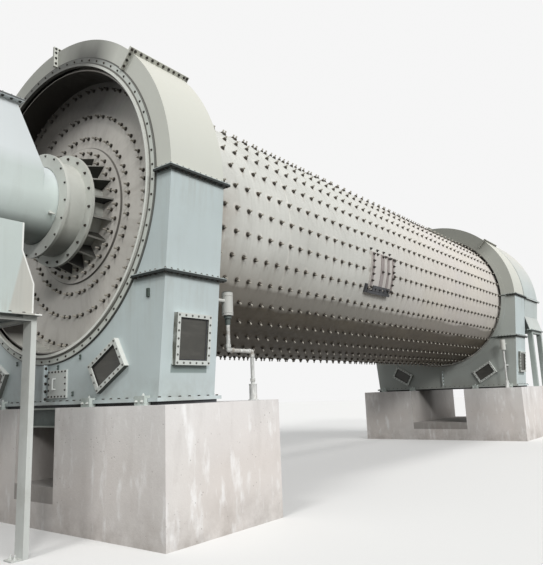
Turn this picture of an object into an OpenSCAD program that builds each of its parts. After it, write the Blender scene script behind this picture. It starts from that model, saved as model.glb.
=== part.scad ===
// Tube ball mill on slide shoe bearings, from the floor up.
// Millimetres. +Z is up, +X runs along the mill from the feed end to the discharge end.
// The origin is on the floor under the middle of the feed bearing.

/* [Mill body] */
// height of the mill axis above the floor
axis_h = 3980; // [3700:10:4300]
// distance between the two bearing centres
bearing_span = 12910; // [11000:10:14000]
// outer radius of the shell
shell_r = 1850; // [1820:1:1880]
// thickness of the shell plate
shell_t = 40; // [30:1:60]
// thickness of an end head
head_t = 100; // [80:1:140]
// distance from a bearing centre to the outer face of its head
head_set = 30; // [20:1:60]
// radius of the raised hub plate on a head
hub_r = 950; // [920:1:980]
// how far the hub plate stands out of the head
hub_t = 24; // [16:1:30]

/* [Slide rings] */
// step from the shell to the bore of a slide ring in front of the head
ring_step = 36; // [30:1:50]
// wall of a slide ring
ring_t = 94; // [80:1:110]
// length of a slide ring along the mill
ring_len = 660; // [600:5:680]
// length of the thin skirt in front of a slide ring
skirt_len = 74; // [60:1:80]
// thickness of the skirt
skirt_t = 20; // [12:1:28]

/* [Feed neck] */
// outer radius of the neck between its flanges
neck_r = 624; // [610:1:640]
// bore radius of the neck
neck_bore_r = 552; // [540:1:570]
// outer radius of the neck behind the inner flange
neck_root_r = 600; // [585:1:610]
// outer radius of the inner neck flange
flange_in_r = 760; // [740:1:790]
// outer radius of the outer neck flange
flange_out_r = 688; // [670:1:730]
// position of the inner flange in front of the bearing centre
flange_in_x = 345; // [320:1:370]
// position of the outer flange in front of the bearing centre
flange_out_x = 660; // [640:1:700]
// thickness of a neck flange
neck_flange_t = 40; // [30:1:50]
// number of stiffening ribs round the neck
rib_count = 18; // [14:1:22]
// turn of the first rib from the top, in degrees
rib_turn = 6.5; // [0:0.5:18]
// thickness of a rib
rib_t = 24; // [16:1:30]
// outer reach of a rib at the inner flange
rib_small_r = 735; // [720:1:755]
// outer reach of a rib at the head
rib_big_r = 815; // [780:1:830]

/* [Manhole] */
// distance of the manhole from the feed bearing centre
door_x = 5390; // [4500:10:6000]
// length of the manhole cover along the mill
door_len = 890; // [700:5:950]
// width of the manhole cover round the shell
door_w = 720; // [600:5:780]
// thickness of the manhole cover
door_t = 30; // [20:1:60]
// angle of the manhole below the horizontal
door_angle = 10.6; // [0:0.1:14]

/* [Bearing casings] */
// room between the seal ring and the casing wall
case_room = 246; // [200:1:280]
// lean of a casing wall from the vertical, in degrees
case_lean = 5.2; // [3:0.1:7]
// room below the seal ring down to the underside of a casing
case_base_room = 499; // [466:1:546]
// drop from the mill axis to the lower split line
split_low_drop = 1177; // [1140:1:1220]
// drop from the mill axis to the upper split line
split_high_drop = 22; // [0:1:40]
// angle of the crown joint from the vertical
crown_angle = 45; // [40:1:50]
// thickness of the casing plate
plate_t = 12; // [8:1:16]
// how far a joint flange stands out
joint_out = 60; // [40:1:80]
// thickness of one joint flange
joint_t = 16; // [12:1:24]
// thickness of the flange round the foot of a casing
base_flange_t = 40; // [24:1:50]
// depth of the feed casing along the mill
feed_case_len = 849; // [835:1:880]
// depth of the discharge casing along the mill
disch_case_len = 920; // [880:1:960]
// overlap of the bolted seal ring on the outer face
seal_lap = 62; // [50:1:80]
// radial gap from the skirt of the slide ring to the seal ring
seal_gap = 24; // [16:1:30]
// width of the bolted seal ring
seal_w = 124; // [110:1:140]
// thickness of the seal ring
seal_t = 20; // [16:1:30]
// width of the raised inner lip of the seal ring
seal_lip_w = 34; // [24:1:44]
// height of the raised inner lip of the seal ring
seal_lip_h = 46; // [36:1:56]
// gap between a slide ring and the casing opening round the shell
open_gap = 28; // [16:1:40]

/* [Casing windows] */
// length of a shoe window
shoe_win_len = 575; // [540:1:600]
// height of a shoe window
shoe_win_h = 370; // [320:1:390]
// how far the middle of a shoe window lies below the arch radius
shoe_win_drop = 182; // [160:1:200]
// angle of a shoe window from straight down
shoe_win_angle = 30.5; // [28:0.5:33]
// width of a side window
side_win_w = 530; // [440:1:560]
// height of a side window
side_win_h = 566; // [520:1:600]
// drop from the mill axis to the middle of a side window
side_win_drop = 1890; // [1850:1:1930]
// width of a window frame bar
frame_bar = 50; // [36:1:60]
// how far a window frame stands out
frame_out = 60; // [50:1:90]
// thickness of a window pane
pane_t = 10; // [6:1:14]

/* [Slide shoes] */
// angle of a shoe from straight down
shoe_angle = 31; // [28:1:34]
// running gap between a shoe and the ring
shoe_gap = 6; // [5.5:0.5:10]
// thickness of a shoe
shoe_t = 130; // [110:1:150]
// angle that a shoe covers
shoe_span = 14; // [12:1:16]
// length of a shoe along the mill
shoe_len = 520; // [460:5:560]
// width of a shoe pedestal
pedestal_w = 560; // [500:5:580]
// gap between a shoe pedestal and the sole frame
pedestal_room = 24.5; // [10:0.5:40]

/* [Foundations] */
// thickness of the sole frame between a casing and its pier
sole_h = 36; // [24:1:60]
// width of a bar of the sole frame
sole_bar = 90; // [70:1:110]
// width of a hold-down clamp on the sole frame
clamp_w = 160; // [120:1:180]
// distance of the inner clamps from the middle of the casing
clamp_in_y = 960; // [900:5:1000]
// distance of the outer clamps from the middle of the casing
clamp_out_y = 1905; // [1860:5:1930]
// how far a pier stands out past the foot of a casing wall
pier_side = 266; // [200:1:320]
// half width of the gap in the feed pier
pier_gap = 420; // [350:5:500]
// half width of the gap in the discharge pier
far_pier_gap = 790; // [700:5:790]
// height of the low step in the gap
step_h = 485; // [350:5:560]
// height of a cross beam in the gap of the feed pier
cross_h = 230; // [180:5:260]
// width of a cross beam
cross_w = 120; // [90:5:140]
// thickness of the flanges and the web of a cross beam
cross_t = 18; // [12:1:24]
// inset of a cross beam from the front of the pier
cross_in = 70; // [50:5:100]
// reach of the feed pier in front of the bearing centre
pier_out = 565; // [555:5:640]
// reach of the feed pier behind the bearing centre
pier_in = 1300; // [1250:5:1400]
// reach of the discharge pier in front of the bearing centre
far_pier_in = 1000; // [980:5:1300]
// reach of the discharge pier past the bearing centre
pier_end = 2300; // [2100:5:2500]

/* [Feed chute] */
// running gap between the feed pipe and the front plate of the neck
pipe_gap = 7; // [5.5:0.5:10]
// outer radius of the feed pipe
pipe_r = 508; // [490:1:508]
// wall thickness of the feed chute
chute_t = 12; // [8:1:16]
// distance of the closed end of the chute from the bearing centre
chute_end = 2500; // [2400:5:2700]
// how far the pipe reaches towards the bearing centre
pipe_tip = 100; // [60:5:200]
// rise from the mill axis to the hopper mouth
mouth_rise = 1080; // [1000:5:1200]
// distance of the mouth edge from the bearing centre
mouth_x = 1270; // [1200:1:1300]
// distance of the foot of the sloping plate from the bearing centre
slope_x = 872; // [850:1:900]
// rise from the mill axis to the foot of the sloping plate
slope_rise = 322; // [300:1:350]
// how far the mouth flange stands out
mouth_out = 72; // [50:1:110]
// thickness of the mouth flange
mouth_flange_t = 30; // [20:1:50]

/* [Feed box and frame] */
// half width of the box under the chute
box_w = 1320; // [1250:5:1400]
// distance of the upper part of the box from the bearing centre
box_x = 1550; // [1520:5:1600]
// length of the upper part of the box
box_len = 1560; // [1500:5:1650]
// drop from the mill axis to the top of the box
box_top_drop = 695; // [670:5:720]
// drop from the mill axis to where the box starts to widen
box_bend_drop = 985; // [950:5:1020]
// drop from the mill axis to where the box ends widening
box_low_drop = 1320; // [1280:5:1360]
// drop from the mill axis to the foot of the box
box_foot_drop = 1635; // [1600:5:1670]
// how far the foot of the box widens
box_flare = 135; // [100:5:180]
// how far the foot flange of the box stands out
box_foot_out = 62; // [40:1:80]
// inset of the frame legs from the side of the box
leg_inset = 20; // [0:1:60]
// how far the frame legs stand out past the ends of the box
leg_out = 55; // [20:1:60]
// width of a frame leg along the mill
leg_w = 60; // [50:1:80]
// depth of a frame leg across the mill
leg_d = 150; // [120:1:180]
// height of the beams on top of the legs
beam_h = 30; // [24:1:60]
// height of the packers between the beams and the box
packer_h = 20; // [12:1:30]

/* [Vent canisters] */
// distance of a canister from the face of its casing
vent_off = 242; // [200:1:280]
// inset of the feed canister from the casing side
vent_in = 200; // [160:5:260]
// inset of the discharge canister from the casing side
far_vent_in = 400; // [340:5:440]
// radius of a canister
vent_r = 68; // [60:1:80]
// height of a canister
vent_h = 280; // [240:5:300]
// drop from the mill axis to the foot of a canister
vent_drop = 1567; // [1500:1:1620]
// radius of the drain pipe
drain_r = 24; // [20:1:30]
// length of the level run of the feed drain pipe
drain_run = 440; // [400:5:480]
// drop from the mill axis to the level run of a drain pipe
drain_drop = 1985; // [1950:5:2020]

/* [Discharge hood] */
// length of the hood along the mill
hood_len = 1452; // [1350:1:1600]
// drop from the mill axis to the split line of the hood
hood_split_drop = 40; // [20:1:60]
// drop from the mill axis to where the skirt starts to widen
hood_bend_drop = 565; // [500:5:620]
// drop from the mill axis to the foot of the skirt
hood_foot_drop = 960; // [900:5:1020]
// how far the skirt draws in above the bend
hood_in = 60; // [30:1:90]
// how far the skirt widens below the bend
hood_flare = 110; // [80:1:140]
// gap between the torque tube and the hood opening
hood_open_gap = 40; // [25:1:60]
// width of the hood seal ring
hood_seal_w = 76; // [60:1:85]
// width of a trestle leg
trestle_w = 130; // [110:1:150]
// height of the rail on top of the trestle legs
rail_h = 80; // [60:1:100]

/* [Torque tube] */
// outer radius of the torque tube
tube_r = 600; // [560:1:610]
// wall thickness of the torque tube
tube_t = 40; // [30:1:50]
// distance of the coupling face from the discharge bearing centre
coupling_x = 2450; // [2400:5:2600]
// outer radius of the coupling flange
coupling_r = 780; // [760:1:800]
// thickness of the coupling flange
coupling_t = 80; // [60:1:90]
// radius of the bolt circle on the coupling
coupling_pcr = 695; // [685:1:700]
// radius of a bolt hole on the coupling
coupling_hole_r = 28; // [22:1:30]
// number of bolt holes on the coupling
coupling_holes = 12; // [8:1:16]

/* [Hidden] */
big = 4000;
fine = 192;
round_fn = 48;
fit_gap = 0.3;
shell_x0 = head_t - head_set;
shell_in_r = shell_r - shell_t;
ring_bore_r = shell_r + ring_step;
ring_r = ring_bore_r + ring_t;
ring_half = ring_len / 2;
seal_in_r = ring_bore_r + skirt_t + seal_gap;
seal_out_r = seal_in_r + seal_w;
face_open_r = seal_in_r + seal_lap;
shell_open_r = ring_r + open_gap;
case_r = seal_out_r + case_room;
case_base_z = axis_h - seal_out_r - case_base_room;
split_low_z = axis_h - split_low_drop;
split_high_z = axis_h - split_high_drop;
feed_case_x = -feed_case_len / 2;
disch_x = bearing_span;
disch_case_x = disch_x - disch_case_len / 2;
hood_x = disch_case_x + disch_case_len;
shoe_in_r = ring_r + shoe_gap;
shoe_out_r = shoe_in_r + shoe_t;
side_win_z = axis_h - side_win_drop;
pier_h = case_base_z - sole_h;
foot_w = wall_y(0, case_base_z);
pier_w = foot_w + pier_side;
mouth_z = axis_h + mouth_rise;
slope_z = axis_h + slope_rise;
box_top_z = axis_h - box_top_drop;
box_bend_z = axis_h - box_bend_drop;
box_low_z = axis_h - box_low_drop;
box_foot_z = axis_h - box_foot_drop;
box_mid_x = -(box_x + box_len / 2);
frame_len = box_len + 2 * box_flare;
vent_z = axis_h - vent_drop;
drain_z = axis_h - drain_drop;
hood_split_z = axis_h - hood_split_drop;
hood_bend_z = axis_h - hood_bend_drop;
hood_foot_z = axis_h - hood_foot_drop;
hood_top_w = chord(case_r, hood_split_z);
hood_bend_w = hood_top_w - hood_in;
hood_foot_w = hood_bend_w + hood_flare;
hood_open_r = tube_r + hood_open_gap;
hood_seal_r = tube_r + fit_gap * 40 + hood_seal_w;

// Half width of the leaning casing wall at a height, for a wall drawn in by t.
function wall_y(t, z) = (case_r - t - (axis_h - z) * sin(case_lean)) / cos(case_lean);

// Half width of a circle about the mill axis at a height.
function chord(r, z) = sqrt(r * r - (z - axis_h) * (z - axis_h));

// A flat shape drawn as (across, up), pushed along the mill from x0 by len.
module slab_x(x0, len) {
  translate([x0, 0, 0])
    rotate([90, 0, 90])
      linear_extrude(height = len)
        children();
}

// A round disc about the mill axis.
module disc_x(x0, len, r) {
  translate([x0, 0, axis_h])
    rotate([0, 90, 0])
      cylinder(h = len, r = r, $fn = fine);
}

// A tube about the mill axis.
module tube_x(x0, len, r, r_in) {
  difference() {
    disc_x(x0, len, r);
    disc_x(x0 - 1, len + 2, r_in);
  }
}

// A plain block from one corner to the other.
module block(a, b) {
  translate(a)
    cube([b[0] - a[0], b[1] - a[1], b[2] - a[2]]);
}

// The copy of a feed end piece at the discharge end.
module at_discharge() {
  translate([disch_x, 0, 0])
    mirror([1, 0, 0])
      children();
}

// Rotating pieces.

module mill_shell() {
  color([0.80, 0.80, 0.78])
    difference() {
      tube_x(shell_x0, disch_x - 2 * shell_x0, shell_r, shell_in_r);
      manhole_cut();
    }
}

module manhole_cut() {
  translate([door_x - door_len / 2 + 80, 0, axis_h])
    rotate([door_angle, 0, 0])
      block([0, -shell_r - 100, -door_w / 2 + 80], [door_len - 160, -shell_in_r + 250, door_w / 2 - 80]);
}

module manhole_cover() {
  color([0.70, 0.71, 0.70])
    intersection() {
      tube_x(door_x - door_len / 2, door_len, shell_r + door_t, shell_r + fit_gap);
      translate([0, 0, axis_h])
        rotate([door_angle, 0, 0])
          block([door_x - door_len, -shell_r - 200, -door_w / 2],
            [door_x + door_len, -shell_r + 300, door_w / 2]);
    }
}

module slide_ring() {
  difference() {
    union() {
      disc_x(-ring_half, ring_len, ring_r);
      disc_x(-ring_half - skirt_len, skirt_len + 1, ring_bore_r + skirt_t);
    }
    disc_x(-ring_half - skirt_len - 1, ring_half + skirt_len + shell_x0 + 1, ring_bore_r);
    disc_x(shell_x0 - 1, ring_len, shell_r + fit_gap);
  }
}

module feed_slide_ring() {
  color([0.62, 0.61, 0.60])
    slide_ring();
}

module discharge_slide_ring() {
  color([0.62, 0.61, 0.60])
    at_discharge()
      slide_ring();
}

module head(bore) {
  difference() {
    union() {
      disc_x(-head_set, head_t, ring_bore_r - fit_gap);
      disc_x(-head_set - hub_t, hub_t + 1, hub_r);
    }
    disc_x(-head_set - hub_t - 1, head_t + hub_t + 2, bore);
  }
}

module feed_head() {
  color([0.60, 0.59, 0.57])
    head(neck_bore_r);
}

module discharge_head() {
  color([0.60, 0.59, 0.57])
    at_discharge()
      head(tube_r - tube_t);
}

module feed_neck() {
  color([0.72, 0.73, 0.71])
    difference() {
      union() {
        disc_x(-flange_in_x, flange_in_x - head_set - hub_t, neck_root_r);
        disc_x(-flange_in_x, neck_flange_t, flange_in_r);
        disc_x(-flange_out_x, flange_out_x - flange_in_x + 1, neck_r);
        disc_x(-flange_out_x, neck_flange_t, flange_out_r);
      }
      disc_x(-flange_out_x + neck_flange_t / 2, flange_out_x, neck_bore_r);
      disc_x(-flange_out_x - 1, neck_flange_t, pipe_r + pipe_gap);
    }
}

module feed_neck_ribs() {
  color([0.58, 0.58, 0.56])
    for (i = [0 : rib_count - 1])
      translate([0, 0, axis_h])
        rotate([rib_turn + i * 360 / rib_count, 0, 0])
          translate([0, rib_t / 2, 0])
            rotate([90, 0, 0])
              linear_extrude(height = rib_t)
                polygon([[-flange_in_x + neck_flange_t, neck_root_r + 2],
                  [-flange_in_x + neck_flange_t, rib_small_r],
                  [-head_set - hub_t, rib_big_r], [-head_set - hub_t, neck_root_r + 2]]);
}

module torque_tube() {
  color([0.66, 0.66, 0.64])
    difference() {
      union() {
        disc_x(disch_x + head_set + hub_t, coupling_x - head_set - hub_t, tube_r);
        disc_x(disch_x + coupling_x - coupling_t, coupling_t, coupling_r);
      }
      disc_x(disch_x, coupling_x + 1, tube_r - tube_t);
      for (i = [0 : coupling_holes - 1])
        translate([disch_x + coupling_x - coupling_t - 1, 0, axis_h])
          rotate([i * 360 / coupling_holes, 0, 0])
            translate([0, 0, coupling_pcr])
              rotate([0, 90, 0])
                cylinder(h = coupling_t + 2, r = coupling_hole_r, $fn = 24);
    }
}

// Casings.

// The outline of a casing seen along the mill, drawn in by t: a round arch on leaning sides.
module case_outline(t, foot) {
  w = case_r - t;
  translate([0, axis_h])
    circle(r = w, $fn = fine);
  polygon([[-w * cos(case_lean), axis_h - w * sin(case_lean)], [-wall_y(t, foot), foot],
    [wall_y(t, foot), foot], [w * cos(case_lean), axis_h - w * sin(case_lean)]]);
}

// Two end plates and the rim plate of one casing section. The child is the part of the outline it takes.
module casing_section(x0, len, r_low, r_high) {
  slab_x(x0, plate_t)
    difference() {
      intersection() {
        case_outline(0, case_base_z);
        children(0);
      }
      translate([0, axis_h])
        circle(r = r_low, $fn = fine);
    }
  slab_x(x0 + len - plate_t, plate_t)
    difference() {
      intersection() {
        case_outline(0, case_base_z);
        children(0);
      }
      translate([0, axis_h])
        circle(r = r_high, $fn = fine);
    }
  slab_x(x0, len)
    intersection() {
      difference() {
        case_outline(0, case_base_z);
        case_outline(plate_t, case_base_z - 50);
      }
      children(0);
    }
}

// A level joint flange on the near side of a casing, open in the middle.
module side_flange(x0, len, z, w) {
  y_in = chord(seal_out_r, z) + 14;
  difference() {
    block([x0 - joint_out, -w - joint_out, z], [x0 + len + joint_out, -y_in, z + joint_t]);
    block([x0 + plate_t / 2, -w + plate_t * 0.75, z - 1], [x0 + len - plate_t / 2, 0, z + joint_t + 1]);
  }
}

// A joint flange along a line through the mill axis. side is 0 or -1: which side of the line it lies on.
module crown_flange(x0, len, angle, side) {
  slab_x(x0 - joint_out, len + 2 * joint_out)
    translate([0, axis_h])
      rotate(angle)
        translate([side * joint_t, case_r - plate_t / 2])
          square([joint_t, joint_out + plate_t / 2]);
  for (x = [x0 - joint_out, x0 + len - plate_t / 2])
    slab_x(x, joint_out + plate_t / 2)
      translate([0, axis_h])
        rotate(angle)
          translate([side * joint_t, seal_out_r + 14])
            square([joint_t, case_r - seal_out_r]);
}

module near_half_mirror(far) {
  if (far == 1)
    mirror([0, 1, 0])
      children();
  else
    children();
}

module region_base() {
  translate([-big, 0])
    square([2 * big, split_low_z]);
}

module region_side() {
  translate([-big, split_low_z])
    square([big, split_high_z - split_low_z]);
}

module region_haunch() {
  polygon([[0, axis_h], [0, split_high_z], [-big, split_high_z], [-big, axis_h + big / tan(crown_angle)]]);
}

module region_crown() {
  polygon([[0, axis_h], [big * tan(crown_angle), axis_h + big], [-big * tan(crown_angle), axis_h + big]]);
}

// A cut for a shoe window through a face plate.
module shoe_window_place(x) {
  for (s = [-1, 1])
    translate([x, 0, axis_h])
      rotate([s * shoe_win_angle, 0, 0])
        translate([0, 0, -case_r - shoe_win_drop])
          children();
}

// The outer face of the leaning wall, with the near and the far side alike.
module side_window_place(x) {
  for (m = [0, 1])
    near_half_mirror(m)
      translate([x, -wall_y(0, side_win_z), side_win_z])
        rotate([case_lean, 0, 0])
          children();
}

module shoe_window_cut(x) {
  shoe_window_place(x)
    cube([4 * plate_t, shoe_win_len - 2 * frame_bar, shoe_win_h - 2 * frame_bar], center = true);
}

module side_window_cut(x) {
  side_window_place(x)
    cube([side_win_w - 2 * frame_bar, 4 * plate_t, side_win_h - 2 * frame_bar], center = true);
}

module casing_base(x0, len, r_low, r_high) {
  casing_section(x0, len, r_low, r_high)
    region_base();
  for (m = [0, 1])
    near_half_mirror(m)
      side_flange(x0, len, split_low_z - joint_t, wall_y(0, split_low_z));
  difference() {
    block([x0 - joint_out, -foot_w - joint_out, case_base_z],
      [x0 + len + joint_out, foot_w + joint_out, case_base_z + base_flange_t]);
    block([x0 + plate_t / 2, -foot_w + plate_t / 2, case_base_z - 1],
      [x0 + len - plate_t / 2, foot_w - plate_t / 2, case_base_z + base_flange_t + 1]);
  }
  middle_flange(x0 - joint_out, case_base_z + 1);
  middle_flange(x0 + len - 1, case_base_z + 1);
}

// The upright joint flange in the middle of a lower face, up to the seal ring.
module middle_flange(x, z) {
  block([x, -joint_t, z], [x + joint_out + 1, joint_t, axis_h - seal_out_r - 4]);
}

module casing_side(x0, len, r_low, r_high, far) {
  near_half_mirror(far) {
    casing_section(x0, len, r_low, r_high)
      region_side();
    side_flange(x0, len, split_low_z, wall_y(0, split_low_z));
    side_flange(x0, len, split_high_z - joint_t, chord(case_r, split_high_z));
  }
}

module casing_haunch(x0, len, r_low, r_high, far) {
  near_half_mirror(far) {
    casing_section(x0, len, r_low, r_high)
      region_haunch();
    side_flange(x0, len, split_high_z, chord(case_r, split_high_z));
    crown_flange(x0, len, crown_angle, -1);
  }
}

module casing_crown(x0, len, r_low, r_high) {
  casing_section(x0, len, r_low, r_high)
    region_crown();
  crown_flange(x0, len, crown_angle, 0);
  crown_flange(x0, len, -crown_angle, -1);
  crown_flange(x0, len, 0, -1);
  crown_flange(x0, len, 0, 0);
}

module feed_casing_base() {
  color([0.72, 0.77, 0.76])
    difference() {
      casing_base(feed_case_x, feed_case_len, face_open_r, shell_open_r);
      shoe_window_cut(feed_case_x);
      shoe_window_cut(feed_case_x + feed_case_len);
      side_window_cut(0);
    }
}

module feed_casing_near_side() {
  color([0.72, 0.77, 0.76])
    casing_side(feed_case_x, feed_case_len, face_open_r, shell_open_r, 0);
}

module feed_casing_far_side() {
  color([0.72, 0.77, 0.76])
    casing_side(feed_case_x, feed_case_len, face_open_r, shell_open_r, 1);
}

module feed_casing_near_haunch() {
  color([0.72, 0.77, 0.76])
    casing_haunch(feed_case_x, feed_case_len, face_open_r, shell_open_r, 0);
}

module feed_casing_far_haunch() {
  color([0.72, 0.77, 0.76])
    casing_haunch(feed_case_x, feed_case_len, face_open_r, shell_open_r, 1);
}

module feed_casing_crown() {
  color([0.72, 0.77, 0.76])
    casing_crown(feed_case_x, feed_case_len, face_open_r, shell_open_r);
}

module feed_seal_ring() {
  color([0.70, 0.73, 0.71])
    difference() {
      union() {
        disc_x(feed_case_x - seal_t, seal_t, seal_out_r);
        disc_x(feed_case_x - seal_lip_h, seal_lip_h, seal_in_r + seal_lip_w);
      }
      disc_x(feed_case_x - seal_lip_h - 1, seal_lip_h + 2, seal_in_r);
    }
}

module shoe_window_frame() {
  difference() {
    cube([frame_out, shoe_win_len, shoe_win_h], center = true);
    cube([frame_out + 2, shoe_win_len - 2 * frame_bar, shoe_win_h - 2 * frame_bar], center = true);
  }
}

module side_window_frame() {
  translate([0, -frame_out / 2 - fit_gap, 0])
    difference() {
      cube([side_win_w, frame_out, side_win_h], center = true);
      cube([side_win_w - 2 * frame_bar, frame_out + 2, side_win_h - 2 * frame_bar], center = true);
    }
}

module feed_window_frames() {
  color([0.78, 0.79, 0.77]) {
    shoe_window_place(feed_case_x - frame_out / 2)
      shoe_window_frame();
    shoe_window_place(feed_case_x + feed_case_len + frame_out / 2)
      shoe_window_frame();
    side_window_place(0)
      side_window_frame();
  }
}

module feed_window_panes() {
  color([0.22, 0.22, 0.23]) {
    shoe_window_place(feed_case_x - frame_out / 2)
      shoe_pane();
    shoe_window_place(feed_case_x + feed_case_len + frame_out / 2)
      shoe_pane();
    side_window_place(0)
      side_pane();
  }
}

module shoe_pane() {
  inset = 2 * frame_bar + 2 * fit_gap;
  cube([pane_t, shoe_win_len - inset, shoe_win_h - inset], center = true);
}

module side_pane() {
  inset = 2 * frame_bar + 2 * fit_gap;
  translate([0, -frame_out / 2, 0])
    cube([side_win_w - inset, pane_t, side_win_h - inset], center = true);
}

module feed_drain_cover() {
  color([0.70, 0.74, 0.73]) {
    block([feed_case_x - 24, -450, case_base_z + 80], [feed_case_x, -60, case_base_z + 420]);
    for (z = [180, 306])
      block([feed_case_x - 64, -226, case_base_z + z], [feed_case_x - 23, -206, case_base_z + z + 18]);
    block([feed_case_x - 74, -226, case_base_z + 180], [feed_case_x - 56, -206, case_base_z + 324]);
  }
}

// Shoes, pedestals, sole frames, piers.

module slide_shoes() {
  for (s = [-1, 1])
    intersection() {
      tube_x(-shoe_len / 2, shoe_len, shoe_out_r, shoe_in_r);
      translate([-shoe_len, 0, axis_h])
        rotate([s * shoe_angle, 0, 0])
          rotate([90, 0, 90])
            linear_extrude(height = 2 * shoe_len)
              polygon([[0, 0], [-big * tan(shoe_span / 2), -big], [big * tan(shoe_span / 2), -big]]);
    }
}

module shoe_pedestals(case_len) {
  pedestal_y = shoe_out_r * sin(shoe_angle);
  pedestal_len = case_len - 2 * (sole_bar + pedestal_room);
  for (s = [-1, 1])
    difference() {
      block([-pedestal_len / 2, s * pedestal_y - pedestal_w / 2, pier_h],
        [pedestal_len / 2, s * pedestal_y + pedestal_w / 2, axis_h - shoe_out_r * cos(shoe_angle) + 60]);
      disc_x(-pedestal_len, 2 * pedestal_len, shoe_out_r);
    }
}

module feed_slide_shoes() {
  color([0.55, 0.54, 0.52])
    slide_shoes();
}

module discharge_slide_shoes() {
  color([0.55, 0.54, 0.52])
    at_discharge()
      slide_shoes();
}

module feed_shoe_pedestals() {
  color([0.50, 0.52, 0.52])
    shoe_pedestals(feed_case_len);
}

module discharge_shoe_pedestals() {
  color([0.50, 0.52, 0.52])
    at_discharge()
      shoe_pedestals(disch_case_len);
}

module sole_frame(x0, len) {
  difference() {
    block([x0 - 20, -foot_w - 20, pier_h], [x0 + len + 20, foot_w + 20, case_base_z]);
    block([x0 + sole_bar, -foot_w + sole_bar, pier_h - 1],
      [x0 + len - sole_bar, foot_w - sole_bar, case_base_z + 1]);
  }
  translate([x0 + len / 2, 0, 0])
    for (m = [0, 1])
      mirror([m, 0, 0])
        for (y = [-clamp_out_y, -clamp_in_y, clamp_in_y, clamp_out_y])
          sole_clamp(-len / 2 - joint_out, y);
}

// A hold-down clamp that rises in front of the casing foot flange and grips its edge.
module sole_clamp(x, y) {
  grip_z = case_base_z + base_flange_t + 1;
  block([x - 46, y - clamp_w / 2, pier_h], [x + joint_out, y + clamp_w / 2, case_base_z]);
  block([x - 46, y - clamp_w / 2, pier_h], [x - 4, y + clamp_w / 2, grip_z + 24]);
  block([x - 46, y - clamp_w / 2, grip_z], [x + 34, y + clamp_w / 2, grip_z + 24]);
}

module feed_sole_frame() {
  color([0.30, 0.31, 0.31])
    sole_frame(feed_case_x, feed_case_len);
}

module discharge_sole_frame() {
  color([0.30, 0.31, 0.31])
    sole_frame(disch_case_x, disch_case_len);
}

module pier(x0, x1, gap) {
  difference() {
    block([x0, -pier_w, 0], [x1, pier_w, pier_h]);
    block([x0 - 1, -gap, step_h], [x1 + 1, gap, pier_h + 1]);
  }
}

module feed_pier() {
  color([0.74, 0.72, 0.71])
    pier(-pier_out, pier_in, pier_gap);
}

// Two I beams that span the gap of the feed pier under the casing foot.
module feed_cross_beams() {
  color([0.45, 0.50, 0.48])
    for (m = [0, 1])
      mirror([m, 0, 0])
        translate([-pier_out + cross_in, 0, pier_h - cross_h]) {
          block([0, -pier_gap, 0], [cross_w, pier_gap, cross_t]);
          block([(cross_w - cross_t) / 2, -pier_gap, 1],
            [(cross_w + cross_t) / 2, pier_gap, cross_h - 1]);
          block([0, -pier_gap, cross_h - cross_t], [cross_w, pier_gap, cross_h]);
        }
}

module discharge_pier() {
  color([0.74, 0.72, 0.71])
    pier(disch_x - far_pier_in, disch_x + pier_end, far_pier_gap);
}

// Vent canister on a stub from the casing face, with its drain pipe down to the pier.

module vent_canister(back, y, run) {
  x = back + vent_off;
  stub_z = vent_z + vent_h * 0.62;
  translate([x, y, vent_z])
    cylinder(h = vent_h, r = vent_r, $fn = round_fn);
  translate([back, y, stub_z])
    rotate([0, 90, 0])
      cylinder(h = vent_off, r = drain_r, $fn = round_fn);
  translate([x, y, drain_z])
    cylinder(h = vent_z - drain_z + 1, r = drain_r, $fn = round_fn);
  translate([x, y, drain_z])
    sphere(r = drain_r, $fn = round_fn);
  translate([x, y, drain_z])
    rotate([0, 90, 0])
      cylinder(h = run, r = drain_r, $fn = round_fn);
  translate([x + run, y, drain_z])
    sphere(r = drain_r, $fn = round_fn);
  translate([x + run, y, pier_h])
    cylinder(h = drain_z - pier_h, r = drain_r, $fn = round_fn);
  translate([x + run, y, pier_h])
    cylinder(h = 187, r = drain_r * 2, $fn = round_fn);
}

module feed_vent_canister() {
  color([0.84, 0.85, 0.84])
    vent_canister(feed_case_x + feed_case_len, -case_r + vent_in, drain_run);
}

module discharge_vent_canister() {
  color([0.84, 0.85, 0.84])
    at_discharge() {
      vent_canister(disch_case_len / 2, -case_r + far_vent_in, 0);
      translate([disch_case_len / 2, -case_r + far_vent_in, drain_z])
        rotate([0, 90, 0])
          cylinder(h = vent_off, r = drain_r, $fn = round_fn);
    }
}

// Discharge casing.

module discharge_casing_base() {
  color([0.72, 0.77, 0.76])
    difference() {
      casing_base(disch_case_x, disch_case_len, shell_open_r, face_open_r);
      shoe_window_cut(disch_case_x);
      side_window_cut(disch_x);
    }
}

module discharge_casing_near_side() {
  color([0.72, 0.77, 0.76])
    casing_side(disch_case_x, disch_case_len, shell_open_r, face_open_r, 0);
}

module discharge_casing_far_side() {
  color([0.72, 0.77, 0.76])
    casing_side(disch_case_x, disch_case_len, shell_open_r, face_open_r, 1);
}

module discharge_casing_near_haunch() {
  color([0.72, 0.77, 0.76])
    casing_haunch(disch_case_x, disch_case_len, shell_open_r, face_open_r, 0);
}

module discharge_casing_far_haunch() {
  color([0.72, 0.77, 0.76])
    casing_haunch(disch_case_x, disch_case_len, shell_open_r, face_open_r, 1);
}

module discharge_casing_crown() {
  color([0.72, 0.77, 0.76])
    casing_crown(disch_case_x, disch_case_len, shell_open_r, face_open_r);
}

module discharge_window_frames() {
  color([0.78, 0.79, 0.77]) {
    shoe_window_place(disch_case_x - frame_out / 2)
      shoe_window_frame();
    side_window_place(disch_x)
      side_window_frame();
  }
}

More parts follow.
